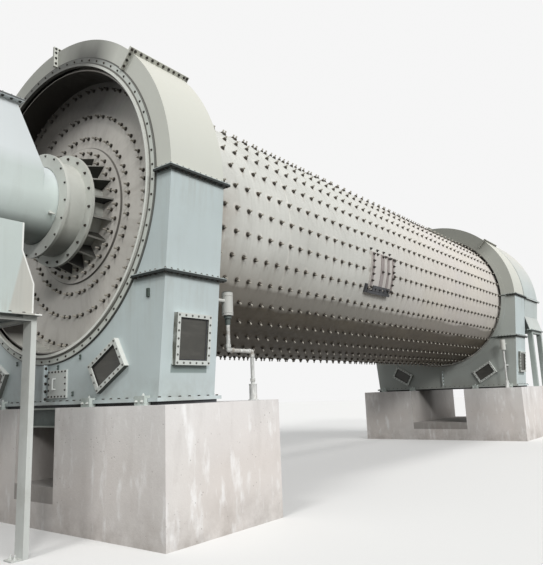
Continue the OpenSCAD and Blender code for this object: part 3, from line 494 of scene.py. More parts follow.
def shell_paint(name):
    """Dusty pale paint on the drum: a brown underside, runs that go round it, a stain at each nut, painted
    shade on the low side and a painted shadow beside the feed casing.
    """
    g = Graph(name)
    x, r, ang = g.polar()
    arc = g.mul(ang, SHELL_R)
    drum = g.join(x, arc, 0.0)
    deg = g.mul(ang, 180.0 / math.pi)
    col = g.mix(g.patch(0.8, 5.0, 0.6, 0.3, 0.7, vec=drum), (185, 186, 181), (202, 203, 198))
    tone = g.mix(g.patch(0.6, 3.0, 0.5, 0.35, 0.65, vec=drum), (208, 201, 191), (202, 196, 192))
    col = g.over(col, tone, g.ramp(x, 4.5, 8.5), 0.8)
    # Dark and pale runs, pale clouds and specks
    runs = g.noise(1.0, 7.0, 0.62, g.stretch((15.0, 0.8, 1.0), drum))
    col = g.mix(g.ramp(runs, 0.5, 0.8, 0.0, 0.32), col, (150, 146, 138))
    pale = g.noise(1.0, 5.0, 0.6, g.stretch((20.0, 0.5, 1.0), g.join(g.add(x, 31.0), arc, 0.0)))
    col = g.mix(g.ramp(pale, 0.58, 0.78, 0.0, 0.5), col, (224, 223, 218))
    col = g.over(col, (218, 218, 213), g.patch(1.5, 9.0, 0.72, 0.5, 0.72, vec=drum), 0.26)
    speck = g.mul(g.patch(55.0, 3.0, 0.6, 0.60, 0.66, vec=drum), g.ramp(deg, -30.0, 10.0, 0.1, 0.45))
    col = g.mix(speck, col, (236, 236, 231))
    # The weld at the first course is paler
    weld = g.mul(g.band(x, 2.405, 2.435, 0.012), g.patch(2.0, 4.0, 0.6, 0.35, 0.6, 0.3, 0.9, vec=drum))
    col = g.over(col, (214, 214, 208), weld, 0.8)
    col = nut_stains(g, col, x, ang, drum)
    # A reddish brown painted shadow beside the feed casing, and painted shade on the low side
    patchy = g.patch(3.0, 6.0, 0.7, 0.35, 0.6, 0.25, 1.0, vec=drum)
    casing_shadow = g.mul(g.ramp(x, 0.75, 1.35, 1.0, 0.0), g.band(deg, -45.0, 2.0, 8.0), patchy)
    col = g.over(col, (136, 124, 112), casing_shadow, 0.75)
    low = g.mul(g.ramp(deg, -14.0, -32.0), g.more(deg, -147.0), g.ramp(x, 1.5, 4.5, 0.6, 0.16))
    col = g.mix(low, col, (140, 134, 124))
    col = g.over(col, (150, 144, 134), g.patch(30.0, 4.0, 0.65, 0.66, 0.72, vec=drum), 0.3)
    # The underside is dark brown, in two steps
    edge = g.add(deg, g.patch(0.9, 5.0, 0.6, 0.3, 0.7, -1.6, 1.6, vec=drum))
    col = g.over(col, (104, 98, 89), g.band(edge, -146.5, -33.5, 1.6), 0.62)
    smear = g.noise(1.3, 6.0, 0.65, g.stretch((0.6, 2.0, 1.0), drum))
    brown = g.mix(g.ramp(smear, 0.3, 0.7), (64, 57, 47), (90, 82, 68))
    col = g.over(col, brown, g.band(edge, -137.0, -43.0, 2.2), 0.92)
    col = g.over(col, (136, 98, 68), g.patch(4.0, 9.0, 0.75, 0.68, 0.78, vec=drum), 0.3)
    # The manhole opening and the inside are dark
    col = g.over(col, (52, 46, 40), g.less(r, SHELL_R - 0.002), 0.8)
    g.bump(g.add(g.mul(g.noise(120.0, 2.0, 0.5), 0.2), g.noise(2.0, 4.0, 0.5, drum)), 0.3, 0.004)
    return g.done(col, g.patch(9.0, 4.0, 0.6, 0.3, 0.7, 0.5, 0.64, vec=drum), 0.0, 0.3)


def turned_steel(name, base, bore):
    """Machined steel with rings round the axis, a film of dust and oil, and a pale bore with a painted
    shadow over the top and far side.
    """
    g = Graph(name)
    x, r, _ = g.polar()
    base = srgb(*base)
    rings = g.noise(1.0, 3.0, 0.6, g.join(g.mul(x, 90.0), g.mul(r, 90.0), 0.0))
    col = g.mix(g.ramp(rings, 0.35, 0.65), shade(base, 0.82), base)
    film = g.patch(3.0, 6.0, 0.65, 0.4, 0.7)
    col = g.over(col, (140, 132, 122), film, 0.5)
    # The bore is pale, with a painted shadow over the top and far side
    inner = g.mix(painted_head_shadow(g, r, 0.8, 0.9, -1.22, -0.86), (214, 214, 207), (30, 27, 23))
    col = g.over(col, inner, g.less(r, bore), 0.94)
    g.bump(rings, 0.2, 0.001)
    return g.done(col, g.add(g.mul(film, 0.25), 0.4), 0.5, 0.4)


def concrete(name):
    """Cast concrete with wash marks, pale marks, a stained foot, gaps painted dark as shade, oil on top and
    air holes.
    """
    g = Graph(name)
    x, y, z = g.xyz()
    halfway, feed_gap, disch_gap = 6.0, 0.4225, 0.7925
    col = g.mix(g.patch(0.9, 7.0, 0.65, 0.3, 0.7), (217, 216, 215), (234, 234, 233))
    col = g.mix(g.patch(0.5, 3.0, 0.5, 0.4, 0.65, 0.0, 0.4), col, (226, 220, 219))
    wet = g.noise(1.0, 6.0, 0.65, g.stretch((3.2, 3.2, 1.1)))
    col = g.mix(g.ramp(wet, 0.50, 0.72, 0.0, 0.42), col, (176, 172, 170))
    warm = g.mul(g.ramp(z, 0.7, 1.5, 0.5, 0.0), g.patch(0.8, 4.0, 0.5, 0.35, 0.6, 0.6, 1.0))
    col = g.mix(warm, col, (208, 198, 190))
    white = g.noise(1.0, 5.0, 0.6, g.stretch((7.0, 7.0, 2.2), g.join(g.add(x, 17.0), y, z)))
    col = g.mix(g.ramp(white, 0.56, 0.70, 0.0, 0.7), col, (246, 246, 246))
    low = g.mul(g.ramp(z, 0.0, 0.5, 1.0, 0.0), g.patch(2.5, 6.0, 0.7, 0.35, 0.65))
    col = g.over(col, (134, 126, 118), low, 0.5)
    # The gaps between the piers are painted dark as shade
    in_feed_gap = g.mul(g.less(g.size(y), feed_gap), g.less(x, halfway))
    in_disch_gap = g.mul(g.less(g.size(y), disch_gap), g.more(x, halfway))
    col = g.over(col, (92, 86, 80), g.either(in_feed_gap, in_disch_gap), g.more(z, 0.3), 0.55)
    oil = g.mul(g.ramp(z, PIER_H - 0.001, PIER_H), g.patch(1.6, 6.0, 0.7, 0.42, 0.62))
    col = g.over(col, (112, 104, 96), oil, 0.45)
    cells = g.new("ShaderNodeTexVoronoi")
    g.link(g.coord, cells.inputs["Vector"])
    cells.inputs["Scale"].default_value = 17.0
    holes = g.ramp(cells.outputs["Distance"], 0.08, 0.16, 1.0, 0.0)
    pits = g.mul(holes, g.patch(3.0, 2.0, 0.5, 0.5, 0.62))
    col = g.over(col, (128, 122, 118), pits, 0.5)
    g.bump(g.sub(g.noise(26.0, 6.0, 0.7), g.mul(pits, 1.2)), 0.45, 0.006)
    return g.done(col, 0.88, 0.0, 0.2)


def dark_pane(name):
    """Dusty dark acrylic."""
    g = Graph(name)
    film = g.patch(2.2, 6.0, 0.65, 0.35, 0.75)
    wipe = g.ramp(g.noise(1.0, 4.0, 0.6, g.stretch((3.0, 3.0, 14.0))), 0.45, 0.7)
    col = g.mix(g.mul(film, 0.5), (64, 64, 61), (92, 90, 84))
    col = g.over(col, (120, 118, 112), wipe, 0.15)
    g.bump(g.noise(2.0, 2.0, 0.5), 0.1, 0.002)
    return g.done(col, g.ramp(film, 0.0, 1.0, 0.3, 0.5), 0.0, 0.3)


def bolt_steel(name, base, rust, worn_on=None):
    """Rusty dark fasteners, with paler worn stud ends on the drum or the heads, and a painted shadow on the
    head bolts over the top and far side.
    """
    g = Graph(name)
    base = srgb(*base)
    col = g.mix(g.patch(3.0, 4.0, 0.6, 0.35, 0.65), shade(base, 0.7), base)
    col = g.over(col, (104, 74, 52), g.patch(23.0, 6.0, 0.7, 0.48, 0.68), rust)
    col = g.mix(g.ramp(g.normal()[2], 0.4, 1.0, 0.0, 0.45), col, (168, 162, 152))
    if worn_on:
        x, r, _ = g.polar()
        if worn_on == "drum":
            end = g.more(r, SHELL_R + 0.034)
        else:
            step = g.mul(g.less(r, HUB_R), HUB_STEP)
            end = g.more(g.away(x, SPAN / 2), g.add(step, SPAN / 2 + HEAD_OUT + 0.0245))
        col = g.over(col, (186, 182, 172), end, 0.85)
        # A painted shadow on the head bolts over the top and far side
        if worn_on == "heads":
            col = g.over(col, (38, 35, 32), painted_head_shadow(g, r, 0.95, 1.4, 0.45, 1.1), 0.85)
    g.bump(g.noise(90.0, 3.0, 0.6), 0.3, 0.001)
    return g.done(col, 0.6, 0.15, 0.35)


# Each paint: its colour, the dust on top and the dirt, how much streak, grime, dust, chips and rust,
# how dark the painted shade with some dirt on its underside is, its roughness, and what else it has
PAINTS = {
    "casing": ((188, 200, 201), (204, 199, 188), (146, 146, 136),
               0.26, 0.14, 0.75, 0.3, 0.02, 0.75, 0.48, casing_extra),
    "hood": ((184, 194, 192), (202, 196, 186), (146, 146, 136), 0.34, 0.2, 0.75, 0.4, 0.03, 0.75, 0.48),
    "chute": ((193, 203, 200), (206, 212, 214), (150, 152, 144),
              0.26, 0.12, 0.7, 0.3, 0.03, 0.75, 0.4, chute_extra),
    "box": ((186, 196, 193), (200, 202, 198), (150, 150, 142),
            0.3, 0.16, 0.6, 0.35, 0.03, 0.75, 0.42, box_extra),
    "head": ((202, 199, 193), (176, 168, 158), (120, 112, 104),
             0.2, 0.26, 0.5, 0.4, 0.05, 0.6, 0.58, head_extra),
    "neck": ((194, 197, 191), (196, 194, 186), (140, 136, 126), 0.26, 0.16, 0.4, 0.4, 0.04, 0.75, 0.48),
    # The ribs' dark paint is painted shade between them, with some soot
    "rib": ((50, 50, 46), (70, 70, 64), (38, 35, 32), 0.3, 0.35, 0.5, 0.4, 0.08, 0.85, 0.6, rib_extra),
    "door": ((196, 192, 186), (186, 178, 170), (118, 108, 98), 0.4, 0.4, 0.4, 0.5, 0.1, 0.8, 0.55),
    "strip": ((142, 132, 127), (160, 150, 144), (84, 76, 70), 0.4, 0.5, 0.4, 0.6, 0.12, 0.8, 0.55),
    "seal": ((196, 201, 195), (200, 196, 186), (140, 138, 128),
             0.25, 0.16, 0.6, 0.4, 0.05, 0.75, 0.48, seal_extra),
    "frame": ((200, 205, 201), (212, 210, 204), (146, 142, 134),
              0.2, 0.16, 0.5, 0.4, 0.04, 0.8, 0.42, frame_extra),
    # The sole frame's near-black paint is painted shade in the gap under the casings
    "sole": ((26, 27, 26), (60, 56, 50), (44, 40, 36), 0.3, 0.35, 0.5, 0.3, 0.06, 0.8, 0.65, sole_extra),
    "beam": ((74, 84, 79), (120, 120, 112), (56, 54, 48), 0.3, 0.35, 0.5, 0.3, 0.06, 0.85, 0.6, beam_extra),
    "pedestal": ((92, 97, 95), (104, 98, 90), (60, 56, 50), 0.3, 0.35, 0.5, 0.3, 0.08, 0.8, 0.6),
    "steelwork": ((194, 198, 194), (198, 196, 190), (124, 118, 108), 0.4, 0.3, 0.6, 0.6, 0.08, 0.8, 0.5),
    "trestle": ((158, 168, 163), (180, 180, 172), (112, 108, 98), 0.4, 0.3, 0.6, 0.6, 0.08, 0.8, 0.5),
    "vent": ((188, 190, 185), (214, 212, 206), (150, 144, 132),
             0.3, 0.2, 0.5, 0.4, 0.05, 0.7, 0.42, vent_extra),
    "tube": ((176, 176, 172), (190, 186, 178), (120, 112, 102), 0.3, 0.25, 0.6, 0.4, 0.05, 0.7, 0.5),
    # Near-black paint of the bracket below the manhole, which also stands for the shade under the cover
    "dark": ((34, 36, 33), (72, 70, 64), (30, 28, 25), 0.3, 0.3, 0.15, 0.2, 0.05, 0.7, 0.7, None, 0.1),
    "lug": ((62, 74, 68), (90, 94, 88), (56, 52, 46), 0.3, 0.3, 0.5, 0.4, 0.08, 0.7, 0.55),
    "rubber": ((26, 27, 26), (60, 56, 52), (56, 52, 46), 0.3, 0.3, 0.3, 0.2, 0.0, 0.6, 0.7),
}
MATS = {key: paint(key + " paint", *row) for key, row in PAINTS.items()}
MATS["shell"] = shell_paint("shell paint")
MATS["ring"] = turned_steel("ring steel", (150, 147, 142), RING_BORE_R)
MATS["shoe"] = turned_steel("shoe steel", (138, 132, 122), NO_BORE)
MATS["concrete"] = concrete("pier concrete")
MATS["pane"] = dark_pane("window pane")
MATS["nut"] = bolt_steel("liner bolt steel", (70, 67, 61), 0.3, "drum")
MATS["headnut"] = bolt_steel("head bolt steel", (62, 60, 55), 0.3, "heads")
MATS["bolt"] = bolt_steel("small bolt steel", (104, 107, 103), 0.25)
MATS["darkbolt"] = bolt_steel("dark bolt steel", (50, 50, 47), 0.3)

# The nodes that don't have the casing's paint, without the feed_ or discharge_ of their names
BY_NODE = {
    "mill_shell": "shell", "manhole_cover": "door", "slide_ring": "ring", "head": "head", "neck": "neck",
    "neck_ribs": "rib", "torque_tube": "tube", "seal_ring": "seal", "hood_seal_ring": "seal",
    "window_frames": "frame", "window_panes": "pane", "drain_cover": "frame", "slide_shoes": "shoe",
    "shoe_pedestals": "pedestal", "sole_frame": "sole", "pier": "concrete", "cross_beams": "beam",
    "vent_canister": "vent", "chute": "chute", "box": "box", "support_frame": "steelwork",
    "hood_arch": "hood", "hood_skirt": "hood", "hood_trestle": "trestle",
}
for name, node in nodes.items():
    kind = name.removeprefix("feed_").removeprefix("discharge_")
    material = MATS[BY_NODE.get(kind, "casing")]
    if not node.material_slots:
        node.data.materials.append(material)
    for holder in node.material_slots:
        holder.material = material


# Mesh helpers
class Batch:
    """Collects many small solids into one mesh."""

    def __init__(self):
        self.v, self.f, self.n = [], [], 0

    def add(self, part, rot=None, at=(0, 0, 0)):
        v = np.asarray(part[0], float)
        if rot is not None:
            v = v @ np.asarray(rot, float).T
        v = v + np.asarray(at, float)
        self.v.append(v)
        self.f.extend([tuple(i + self.n for i in f) for f in part[1]])
        self.n += len(v)

    def on(self, part, normal, at):
        """Adds a part that stands on a face, turned by a random amount."""
        self.add(part, frame_to(normal, float(rng.uniform(0, math.pi / 3))), at)

    def make(self, name, mat, body, slot):
        mesh = bpy.data.meshes.new(name)
        mesh.from_pydata([tuple(p) for p in np.concatenate(self.v)], [], self.f)
        mesh.validate()
        mesh.materials.append(MATS[mat])
        piece = bpy.data.objects.new(name, mesh)
        bpy.context.scene.collection.objects.link(piece)
        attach(piece, body)


def extrude(ring, z0, z1, top=None):
    """The verts and faces of a solid between an outline at z0 and one at z1."""
    n = len(ring)
    v = [(x, y, z0) for x, y in ring] + [(x, y, z1) for x, y in top or ring]
    sides = [(i, (i + 1) % n, n + (i + 1) % n, n + i) for i in range(n)]
    return v, [tuple(range(n))[::-1], tuple(range(n, 2 * n))] + sides


def prism(n, r, z0, z1, r1=None):
    """A prism along +Z, which goes from radius r to r1 when r1 is set."""
    turns = [2 * math.pi * i / n for i in range(n)]
    top = [((r1 or r) * math.cos(a), (r1 or r) * math.sin(a)) for a in turns]
    return extrude([(r * math.cos(a), r * math.sin(a)) for a in turns], z0, z1, top)


def block(a, b, cut=0.0):
    """A box from corner a to corner b, with its upright edges cut back when cut is set."""
    (x0, y0, z0), (x1, y1, z1) = a, b
    ring = [(x0, y0), (x1, y0), (x1, y1), (x0, y1)]
    if cut:
        ring = [(x0 + cut, y0), (x1 - cut, y0), (x1, y0 + cut), (x1, y1 - cut),
                (x1 - cut, y1), (x0 + cut, y1), (x0, y1 - cut), (x0, y0 + cut)]
    return extrude(ring, z0, z1)


def join_parts(parts):
    v, f, n = [], [], 0
    for part_v, part_f in parts:
        v += list(part_v)
        f += [tuple(i + n for i in face) for face in part_f]
        n += len(part_v)
    return v, f


def nut(size, washer, height, tip, stud, sides=8):
    """A washer, a hex nut with a chamfer, and the stud end through it."""
    return join_parts([
        prism(12, washer, 0.0, height * 0.2),
        prism(6, size, height * 0.2, height * 0.86),
        prism(6, size, height * 0.86, height, size * 0.86),
        prism(sides, stud, height, tip * 0.96),
        prism(sides, stud, tip * 0.96, tip, stud * 0.75),
    ])


def hex_bolt(size, height):
    """A washer and a hex head with a chamfer."""
    return join_parts([
        prism(8, size * 1.25, 0.0, height * 0.18),
        prism(6, size, height * 0.18, height * 0.85),
        prism(6, size, height * 0.85, height, size * 0.85),
    ])


def frame_to(normal, spin=0.0):
    """Rotation that takes local +Z to a normal."""
    turn = Vector(normal).normalized().to_track_quat("Z", "Y").to_matrix()
    return np.array(turn @ Matrix.Rotation(spin, 3, "Z"))


def torus(big, small, n, m):
    """A ring in the local XY plane."""
    v, f = [], []
    for i in range(n):
        a = 2 * math.pi * i / n
        for j in range(m):
            b = 2 * math.pi * j / m
            r = big + small * math.cos(b)
            v.append((r * math.cos(a), r * math.sin(a), small * math.sin(b)))
            i2, j2 = (i + 1) % n, (j + 1) % m
            f.append((i * m + j, i2 * m + j, i2 * m + j2, i * m + j2))
    return v, f


def sweep(sections, closed):
    """A solid through sections of four points each, closed to a ring or with a cap at each end."""
    n = len(sections)
    f = []
    for i in range(n if closed else n - 1):
        a, b = 4 * i, 4 * ((i + 1) % n)
        f += [(a + j, a + (j + 1) % 4, b + (j + 1) % 4, b + j) for j in range(4)]
    if not closed:
        f += [(3, 2, 1, 0), tuple(range(4 * n - 4, 4 * n))]
    return [point for section in sections for point in section], f


def polar(x, r, deg):
    """A point about the mill axis. 0 is the near side, 90 is up."""
    a = math.radians(deg)
    return (x, -r * math.cos(a), AXIS_Z + r * math.sin(a))


def out_of(deg):
    """The way out from the mill axis at an angle."""
    a = math.radians(deg)
    return (0.0, -math.cos(a), math.sin(a))


def along(deg):
    """The way round the mill axis at an angle."""
    a = math.radians(deg)
    return (0.0, math.sin(a), math.cos(a))


def spread(a, b, pitch):
    """Even places from a to b, about pitch apart."""
    n = max(1, int(round((b - a) / pitch)))
    return [a + (b - a) * i / n for i in range(n + 1)]


def bolt_circle(batch, part, x, way, r, count, first, turns=(0.0,)):
    """Bolts on a circle about the mill axis, on a face that looks along -X or +X, one for each turn."""
    for i in range(count):
        for turn in turns:
            batch.on(part, (way, 0, 0), polar(x, r, first + 360.0 * i / count + turn))


def bolt_through(bolts, nuts, x, y, low, high):
    """A bolt below a flat joint and its nut above it."""
    bolts.on(JOINT_BOLT, (0, 0, -1), (x, y, low))
    nuts.on(JOINT_NUT, (0, 0, 1), (x, y, high))


rng = np.random.default_rng(7)
LINER_NUT = nut(0.027, 0.034, 0.030, 0.068, 0.0135)
HEAD_NUT = nut(0.022, 0.028, 0.022, 0.072, 0.0135)
NECK_NUT = nut(0.0165, 0.0205, 0.018, 0.026, 0.009, 6)
PIPE_NUT = nut(0.012, 0.015, 0.013, 0.018, 0.007, 6)
DOOR_NUT = nut(0.022, 0.028, 0.024, 0.044, 0.011)
JOINT_NUT = nut(0.0155, 0.019, 0.014, 0.024, 0.0085, 6)
CLAMP_NUT = nut(0.014, 0.019, 0.016, 0.026, 0.008)
ANCHOR_NUT = nut(0.014, 0.02, 0.016, 0.045, 0.008)
SEAL_BOLT = hex_bolt(0.012, 0.011)
JOINT_BOLT = hex_bolt(0.0155, 0.013)
WINDOW_BOLT = hex_bolt(0.0105, 0.010)
WIPER_BOLT = hex_bolt(0.009, 0.007)
LUG_BOLT = hex_bolt(0.008, 0.007)

# Liner bolts of the drum, in two pieces, with two rows interrupted by the manhole
COLUMNS, DOOR_COLUMNS = range(-2, 47), range(16, 20)
for part in range(2):
    batch = Batch()
    for row in range(part, ROW_COUNT, 2):
        deg = ROW_TURN + ROW_DEG * row
        for column in COLUMNS:
            if column in DOOR_COLUMNS and row in (0, ROW_COUNT - 1):
                continue
            batch.on(LINER_NUT, out_of(deg), polar(ROW_X + ROW_PITCH * column, SHELL_R, deg))
    batch.make("liner_bolts_%d" % (part + 1), "nut", "mill", "shell_paint")

# Head bolts in pairs on three circles, and single ones on the hub
batch = Batch()
for x, way in ((-HEAD_OUT, -1), (SPAN + HEAD_OUT, 1)):
    for r, count, gap, first in ((1.09, 24, 5.8, 6.9), (1.403, 30, 4.8, -2.0), (1.787, 36, 3.8, 2.0)):
        bolt_circle(batch, HEAD_NUT, x, way, r, count, first, (-gap / 2, gap / 2))
    hub = x + way * HUB_STEP
    bolt_circle(batch, HEAD_NUT, hub, way, 0.873, 30, 9.3)
    if way < 0:
        bolt_circle(batch, HEAD_NUT, hub, way, 0.775, 18, 13.5)
batch.make("head_bolts", "headnut", "mill", "head_paint")

# Bolts on both sides of the two neck flanges
batch = Batch()
for x, way in ((-0.66, -1), (-0.62, 1)):
    bolt_circle(batch, PIPE_NUT, x, way, 0.656, 18, 13.7)
for x, way in ((-0.345, -1), (-0.305, 1)):
    bolt_circle(batch, NECK_NUT, x, way, 0.706, 18, 12.2)
batch.make("neck_flange_bolts", "darkbolt", "mill", "neck_paint")

# Manhole
DOOR_X, DOOR_DEG, DOOR_R = 5.39, -10.6, 1.880
STRIP_OUT, PLATE_OUT = 0.013, 0.030


def door_strip(x0, x1, d0, d1, low, high):
    """A strip bent round the drum, with its ends and its angles measured from the middle of the door."""
    x0, x1, d0, d1 = DOOR_X + x0, DOOR_X + x1, DOOR_DEG + d0, DOOR_DEG + d1
    corners = ((x0, low), (x1, low), (x1, high), (x0, high))
    steps = 8
    degs = [d0 + (d1 - d0) * i / steps for i in range(steps + 1)]
    return sweep([[polar(x, r, deg) for x, r in corners] for deg in degs], False)


def door_bolts(batch, places, angles, out):
    """Bolts on the door, with places and angles measured from its middle."""
    for x in places:
        for deg in angles:
            batch.on(DOOR_NUT, out_of(DOOR_DEG + deg), polar(DOOR_X + x, DOOR_R + out + GAP, DOOR_DEG + deg))


batch = Batch()
for x0, x1 in ((-0.435, -0.365), (-0.10, 0.02), (0.16, 0.235), (0.365, 0.435)):
    batch.add(door_strip(x0, x1, -10.4, 10.4, DOOR_R + GAP, DOOR_R + STRIP_OUT))
batch.make("manhole_strips", "strip", "mill", "door_paint")
batch = Batch()
door_bolts(batch, (-0.40, 0.40), (-9.4, -5.6, -1.9, 1.9, 5.6, 9.4), STRIP_OUT)
door_bolts(batch, (-0.24, 0.09, 0.30), (-9.8, 9.8), 0.0)
door_bolts(batch, (-0.04, 0.2), (-9.2, 0.5, 9.2), STRIP_OUT)
for column in DOOR_COLUMNS:
    batch.on(DOOR_NUT, out_of(1.9), polar(ROW_X + 0.02 + ROW_PITCH * column, SHELL_R, 1.9))
batch.make("manhole_bolts", "darkbolt", "mill", "door_paint")
# The bracket that the cover hangs in, below it, in near-black paint that also stands for the shade under the
# cover
batch = Batch()
batch.add(door_strip(-0.33, 0.31, -8.2, -11.4, DOOR_R + STRIP_OUT + 0.0005, DOOR_R + PLATE_OUT))
batch.add(door_strip(-0.52, 0.36, -11.5, -12.9, SHELL_R + GAP, SHELL_R + 0.062))
batch.add(door_strip(-0.565, -0.5203, -8.0, -12.9, SHELL_R + GAP, SHELL_R + 0.045))
door_bolts(batch, (-0.24, -0.08, 0.08, 0.24), (-9.6,), PLATE_OUT)
batch.make("manhole_bracket_and_shade", "dark", "mill", "door_paint")

# Seal ring
SEAL_T = 0.020
batch = Batch()
bolt_circle(batch, SEAL_BOLT, FEED_X0 - SEAL_T, -1, 2.016, 72, 2.2)
batch.make("seal_ring_bolts", "darkbolt", "plant", "seal_paint")

# Joints of the casings
EDGE = JOINT / 2
BOLT_PITCH = 0.09


def level_bolts(bolts, nuts, x0, x1):
    """Bolts along the two level splits of a casing, on its sides and across its faces."""
    for side in (-1, 1):
        for z in (LOW_Z, HIGH_Z):
            wall = wall_y(z) if z == LOW_Z else chord(CASE_R, z)
            for x in spread(x0 - EDGE, x1 + EDGE, BOLT_PITCH):
                bolt_through(bolts, nuts, x, side * (wall + EDGE), z - PLATE, z + PLATE)
            places = spread(chord(SEAL_R, z) + 0.06, wall - 0.05, BOLT_PITCH)
            if z == LOW_Z:
                places = places[:-1]
            for x in (x0 - EDGE, x1 + EDGE):
                for y in places:
                    bolt_through(bolts, nuts, x, side * y, z - PLATE, z + PLATE)


def crown_bolts(bolts, x0, x1):
    """Bolt heads on both sides of the three splits over the crown, along the top and down the faces."""
    edge = 0.032
    for deg in (45.0, 90.0, 135.0):
        tangent = np.array(along(deg))
        places = [(x, CASE_R + edge) for x in spread(x0 + 0.02, x1 - 0.02, BOLT_PITCH)]
        places += [(x, r) for x in (x0 - edge, x1 + edge) for r in (2.115, 2.195, 2.275, 2.335)]
        for x, r in places:
            point = np.array(polar(x, r, deg))
            bolts.on(JOINT_BOLT, tangent, point + tangent * PLATE)
            bolts.on(JOINT_BOLT, -tangent, point - tangent * PLATE)


def foot_bolts(bolts, x0, x1):
    """Bolts of the upright flange in the middle of the two lower faces, and bolts down to the sole frame."""
    for x in (x0 - 0.031, x1 + 0.031):
        for z in spread(1.50, 1.88, 0.088):
            bolts.on(JOINT_BOLT, (0, 1, 0), (x, PLATE, z))
            bolts.on(JOINT_NUT, (0, -1, 0), (x, -PLATE, z))
    top, pitch = BASE_Z + 0.040, 0.14
    for side in (-1, 1):
        for x in spread(x0 - 0.01, x1 + 0.01, pitch):
            bolts.on(JOINT_BOLT, (0, 0, 1), (x, side * (FOOT_W + 0.034), top))
    for x in (x0 - EDGE, x1 + EDGE):
        for y in spread(-1.75, 1.75, pitch):
            at_flange = abs(y) <= 0.06
            at_clamp = abs(abs(y) - CLAMP_Y) <= 0.1
            if not (at_flange or at_clamp):
                bolts.on(JOINT_BOLT, (0, 0, 1), (x, y, top))


# Windows
def window(bolts, gasket, centre, u, v, n, w, h):
    """Bolts on the bars of a window frame and the dark strip round its pane, about a centre on its face."""
    pitch, strip, low, high = 0.092, 0.013, -0.0245, -0.018
    us, vs = w / 2 - WIN_BAR / 2, h / 2 - WIN_BAR / 2
    for a in spread(-us, us, pitch):
        for s in (-vs, vs):
            bolts.on(WINDOW_BOLT, n, centre + u * a + v * s)
    for a in spread(-vs, vs, pitch)[1:-1]:
        for s in (-us, us):
            bolts.on(WINDOW_BOLT, n, centre + u * s + v * a)
    rot = np.array([u, v, n]).T
    iu, iv = w / 2 - WIN_BAR - 2 * GAP, h / 2 - WIN_BAR - 2 * GAP
    for a, b in (
            ((-iu, -iv), (iu, -iv + strip)),
            ((-iu, iv - strip), (iu, iv)),
            ((-iu, -iv + strip), (-iu + strip, iv - strip)),
            ((iu - strip, -iv + strip), (iu, iv - strip))):
        gasket.add(block((*a, low), (*b, high)), rot, centre)


def windows(bolts, gasket, shoe_faces, side_x):
    """The tilted shoe windows on the faces of a casing, and one window on each leaning side."""
    sine, cosine = math.sin(SHOE_WIN_LEAN), math.cos(SHOE_WIN_LEAN)
    for x, way in shoe_faces:
        for side in (-1, 1):
            down = np.array((0.0, side * sine, -cosine))
            u = np.array((0.0, cosine, side * sine))
            n = np.array((way, 0.0, 0.0))
            centre = np.array((x, 0.0, AXIS_Z)) + down * SHOE_WIN_R
            window(bolts, gasket, centre, u, np.cross(n, u), n, SHOE_WIN_W, SHOE_WIN_H)
    for side in (-1, 1):
        n = np.array((0.0, side * math.cos(LEAN), -math.sin(LEAN)))
        v = np.array((0.0, side * math.sin(LEAN), math.cos(LEAN)))
        centre = np.array((side_x, side * wall_y(SIDE_WIN_Z), SIDE_WIN_Z)) + n * WIN_OUT
        window(bolts, gasket, centre, np.cross(v, n), v, n, SIDE_WIN_W, SIDE_WIN_H)


FEED_FACES = ((FEED_X0 - WIN_OUT, -1), (FEED_X1 + WIN_OUT, 1))
DISCH_FACES = ((DISCH_X0 - WIN_OUT, -1),)
for tag, x0, x1, shoe_faces, mid in (
        ("feed", FEED_X0, FEED_X1, FEED_FACES, 0.0),
        ("discharge", DISCH_X0, DISCH_X1, DISCH_FACES, SPAN)):
    bolts, nuts = Batch(), Batch()
    level_bolts(bolts, nuts, x0, x1)
    crown_bolts(bolts, x0, x1)
    foot_bolts(bolts, x0, x1)
    bolts.make(tag + "_joint_bolts", "darkbolt", "plant", "casing_paint")
    nuts.make(tag + "_joint_nuts", "bolt", "plant", "casing_paint")
    bolts, gasket = Batch(), Batch()
    windows(bolts, gasket, shoe_faces, mid)
    bolts.make(tag + "_window_bolts", "bolt", "plant", "frame_paint")
    gasket.make(tag + "_window_gaskets", "rubber", "plant", "pane_dark")


# Wiper rings on the drum side of the casings
def ring_plate(r0, r1, x0, x1):
    """A flat ring about the mill axis."""
    corners = ((x0, r0), (x0, r1), (x1, r1), (x1, r0))
    n = 96
    return sweep([[polar(x, r, 360.0 * i / n) for x, r in corners] for i in range(n)], True)


for tag, x, way in (("feed", FEED_X1, 1), ("discharge", DISCH_X0, -1)):
    batch = Batch()
    face = x + way * 0.006
    x0, x1 = sorted((x + way * GAP, face))
    batch.add(ring_plate(1.926, 2.034, x0, x1))
    bolt_circle(batch, WIPER_BOLT, face, way, 2.020, 48, 3.0)
    batch.make(tag + "_wiper_ring", "casing", "plant", "casing_paint")

# Drain cover
DRAIN_FACE = FEED_X0 - 0.024
DRAIN_Y0, DRAIN_Y1, DRAIN_Z0, DRAIN_Z1 = -0.43, -0.08, 1.527, 1.827
batch = Batch()
for y in spread(DRAIN_Y0, DRAIN_Y1, 0.07):
    for z in (DRAIN_Z0, DRAIN_Z1):
        batch.on(WINDOW_BOLT, (-1, 0, 0), (DRAIN_FACE, y, z))
for z in spread(DRAIN_Z0, DRAIN_Z1, 0.075)[1:-1]:
    for y in (DRAIN_Y0, DRAIN_Y1):
        batch.on(WINDOW_BOLT, (-1, 0, 0), (DRAIN_FACE, y, z))
batch.make("drain_cover_bolts", "darkbolt", "plant", "frame_paint")

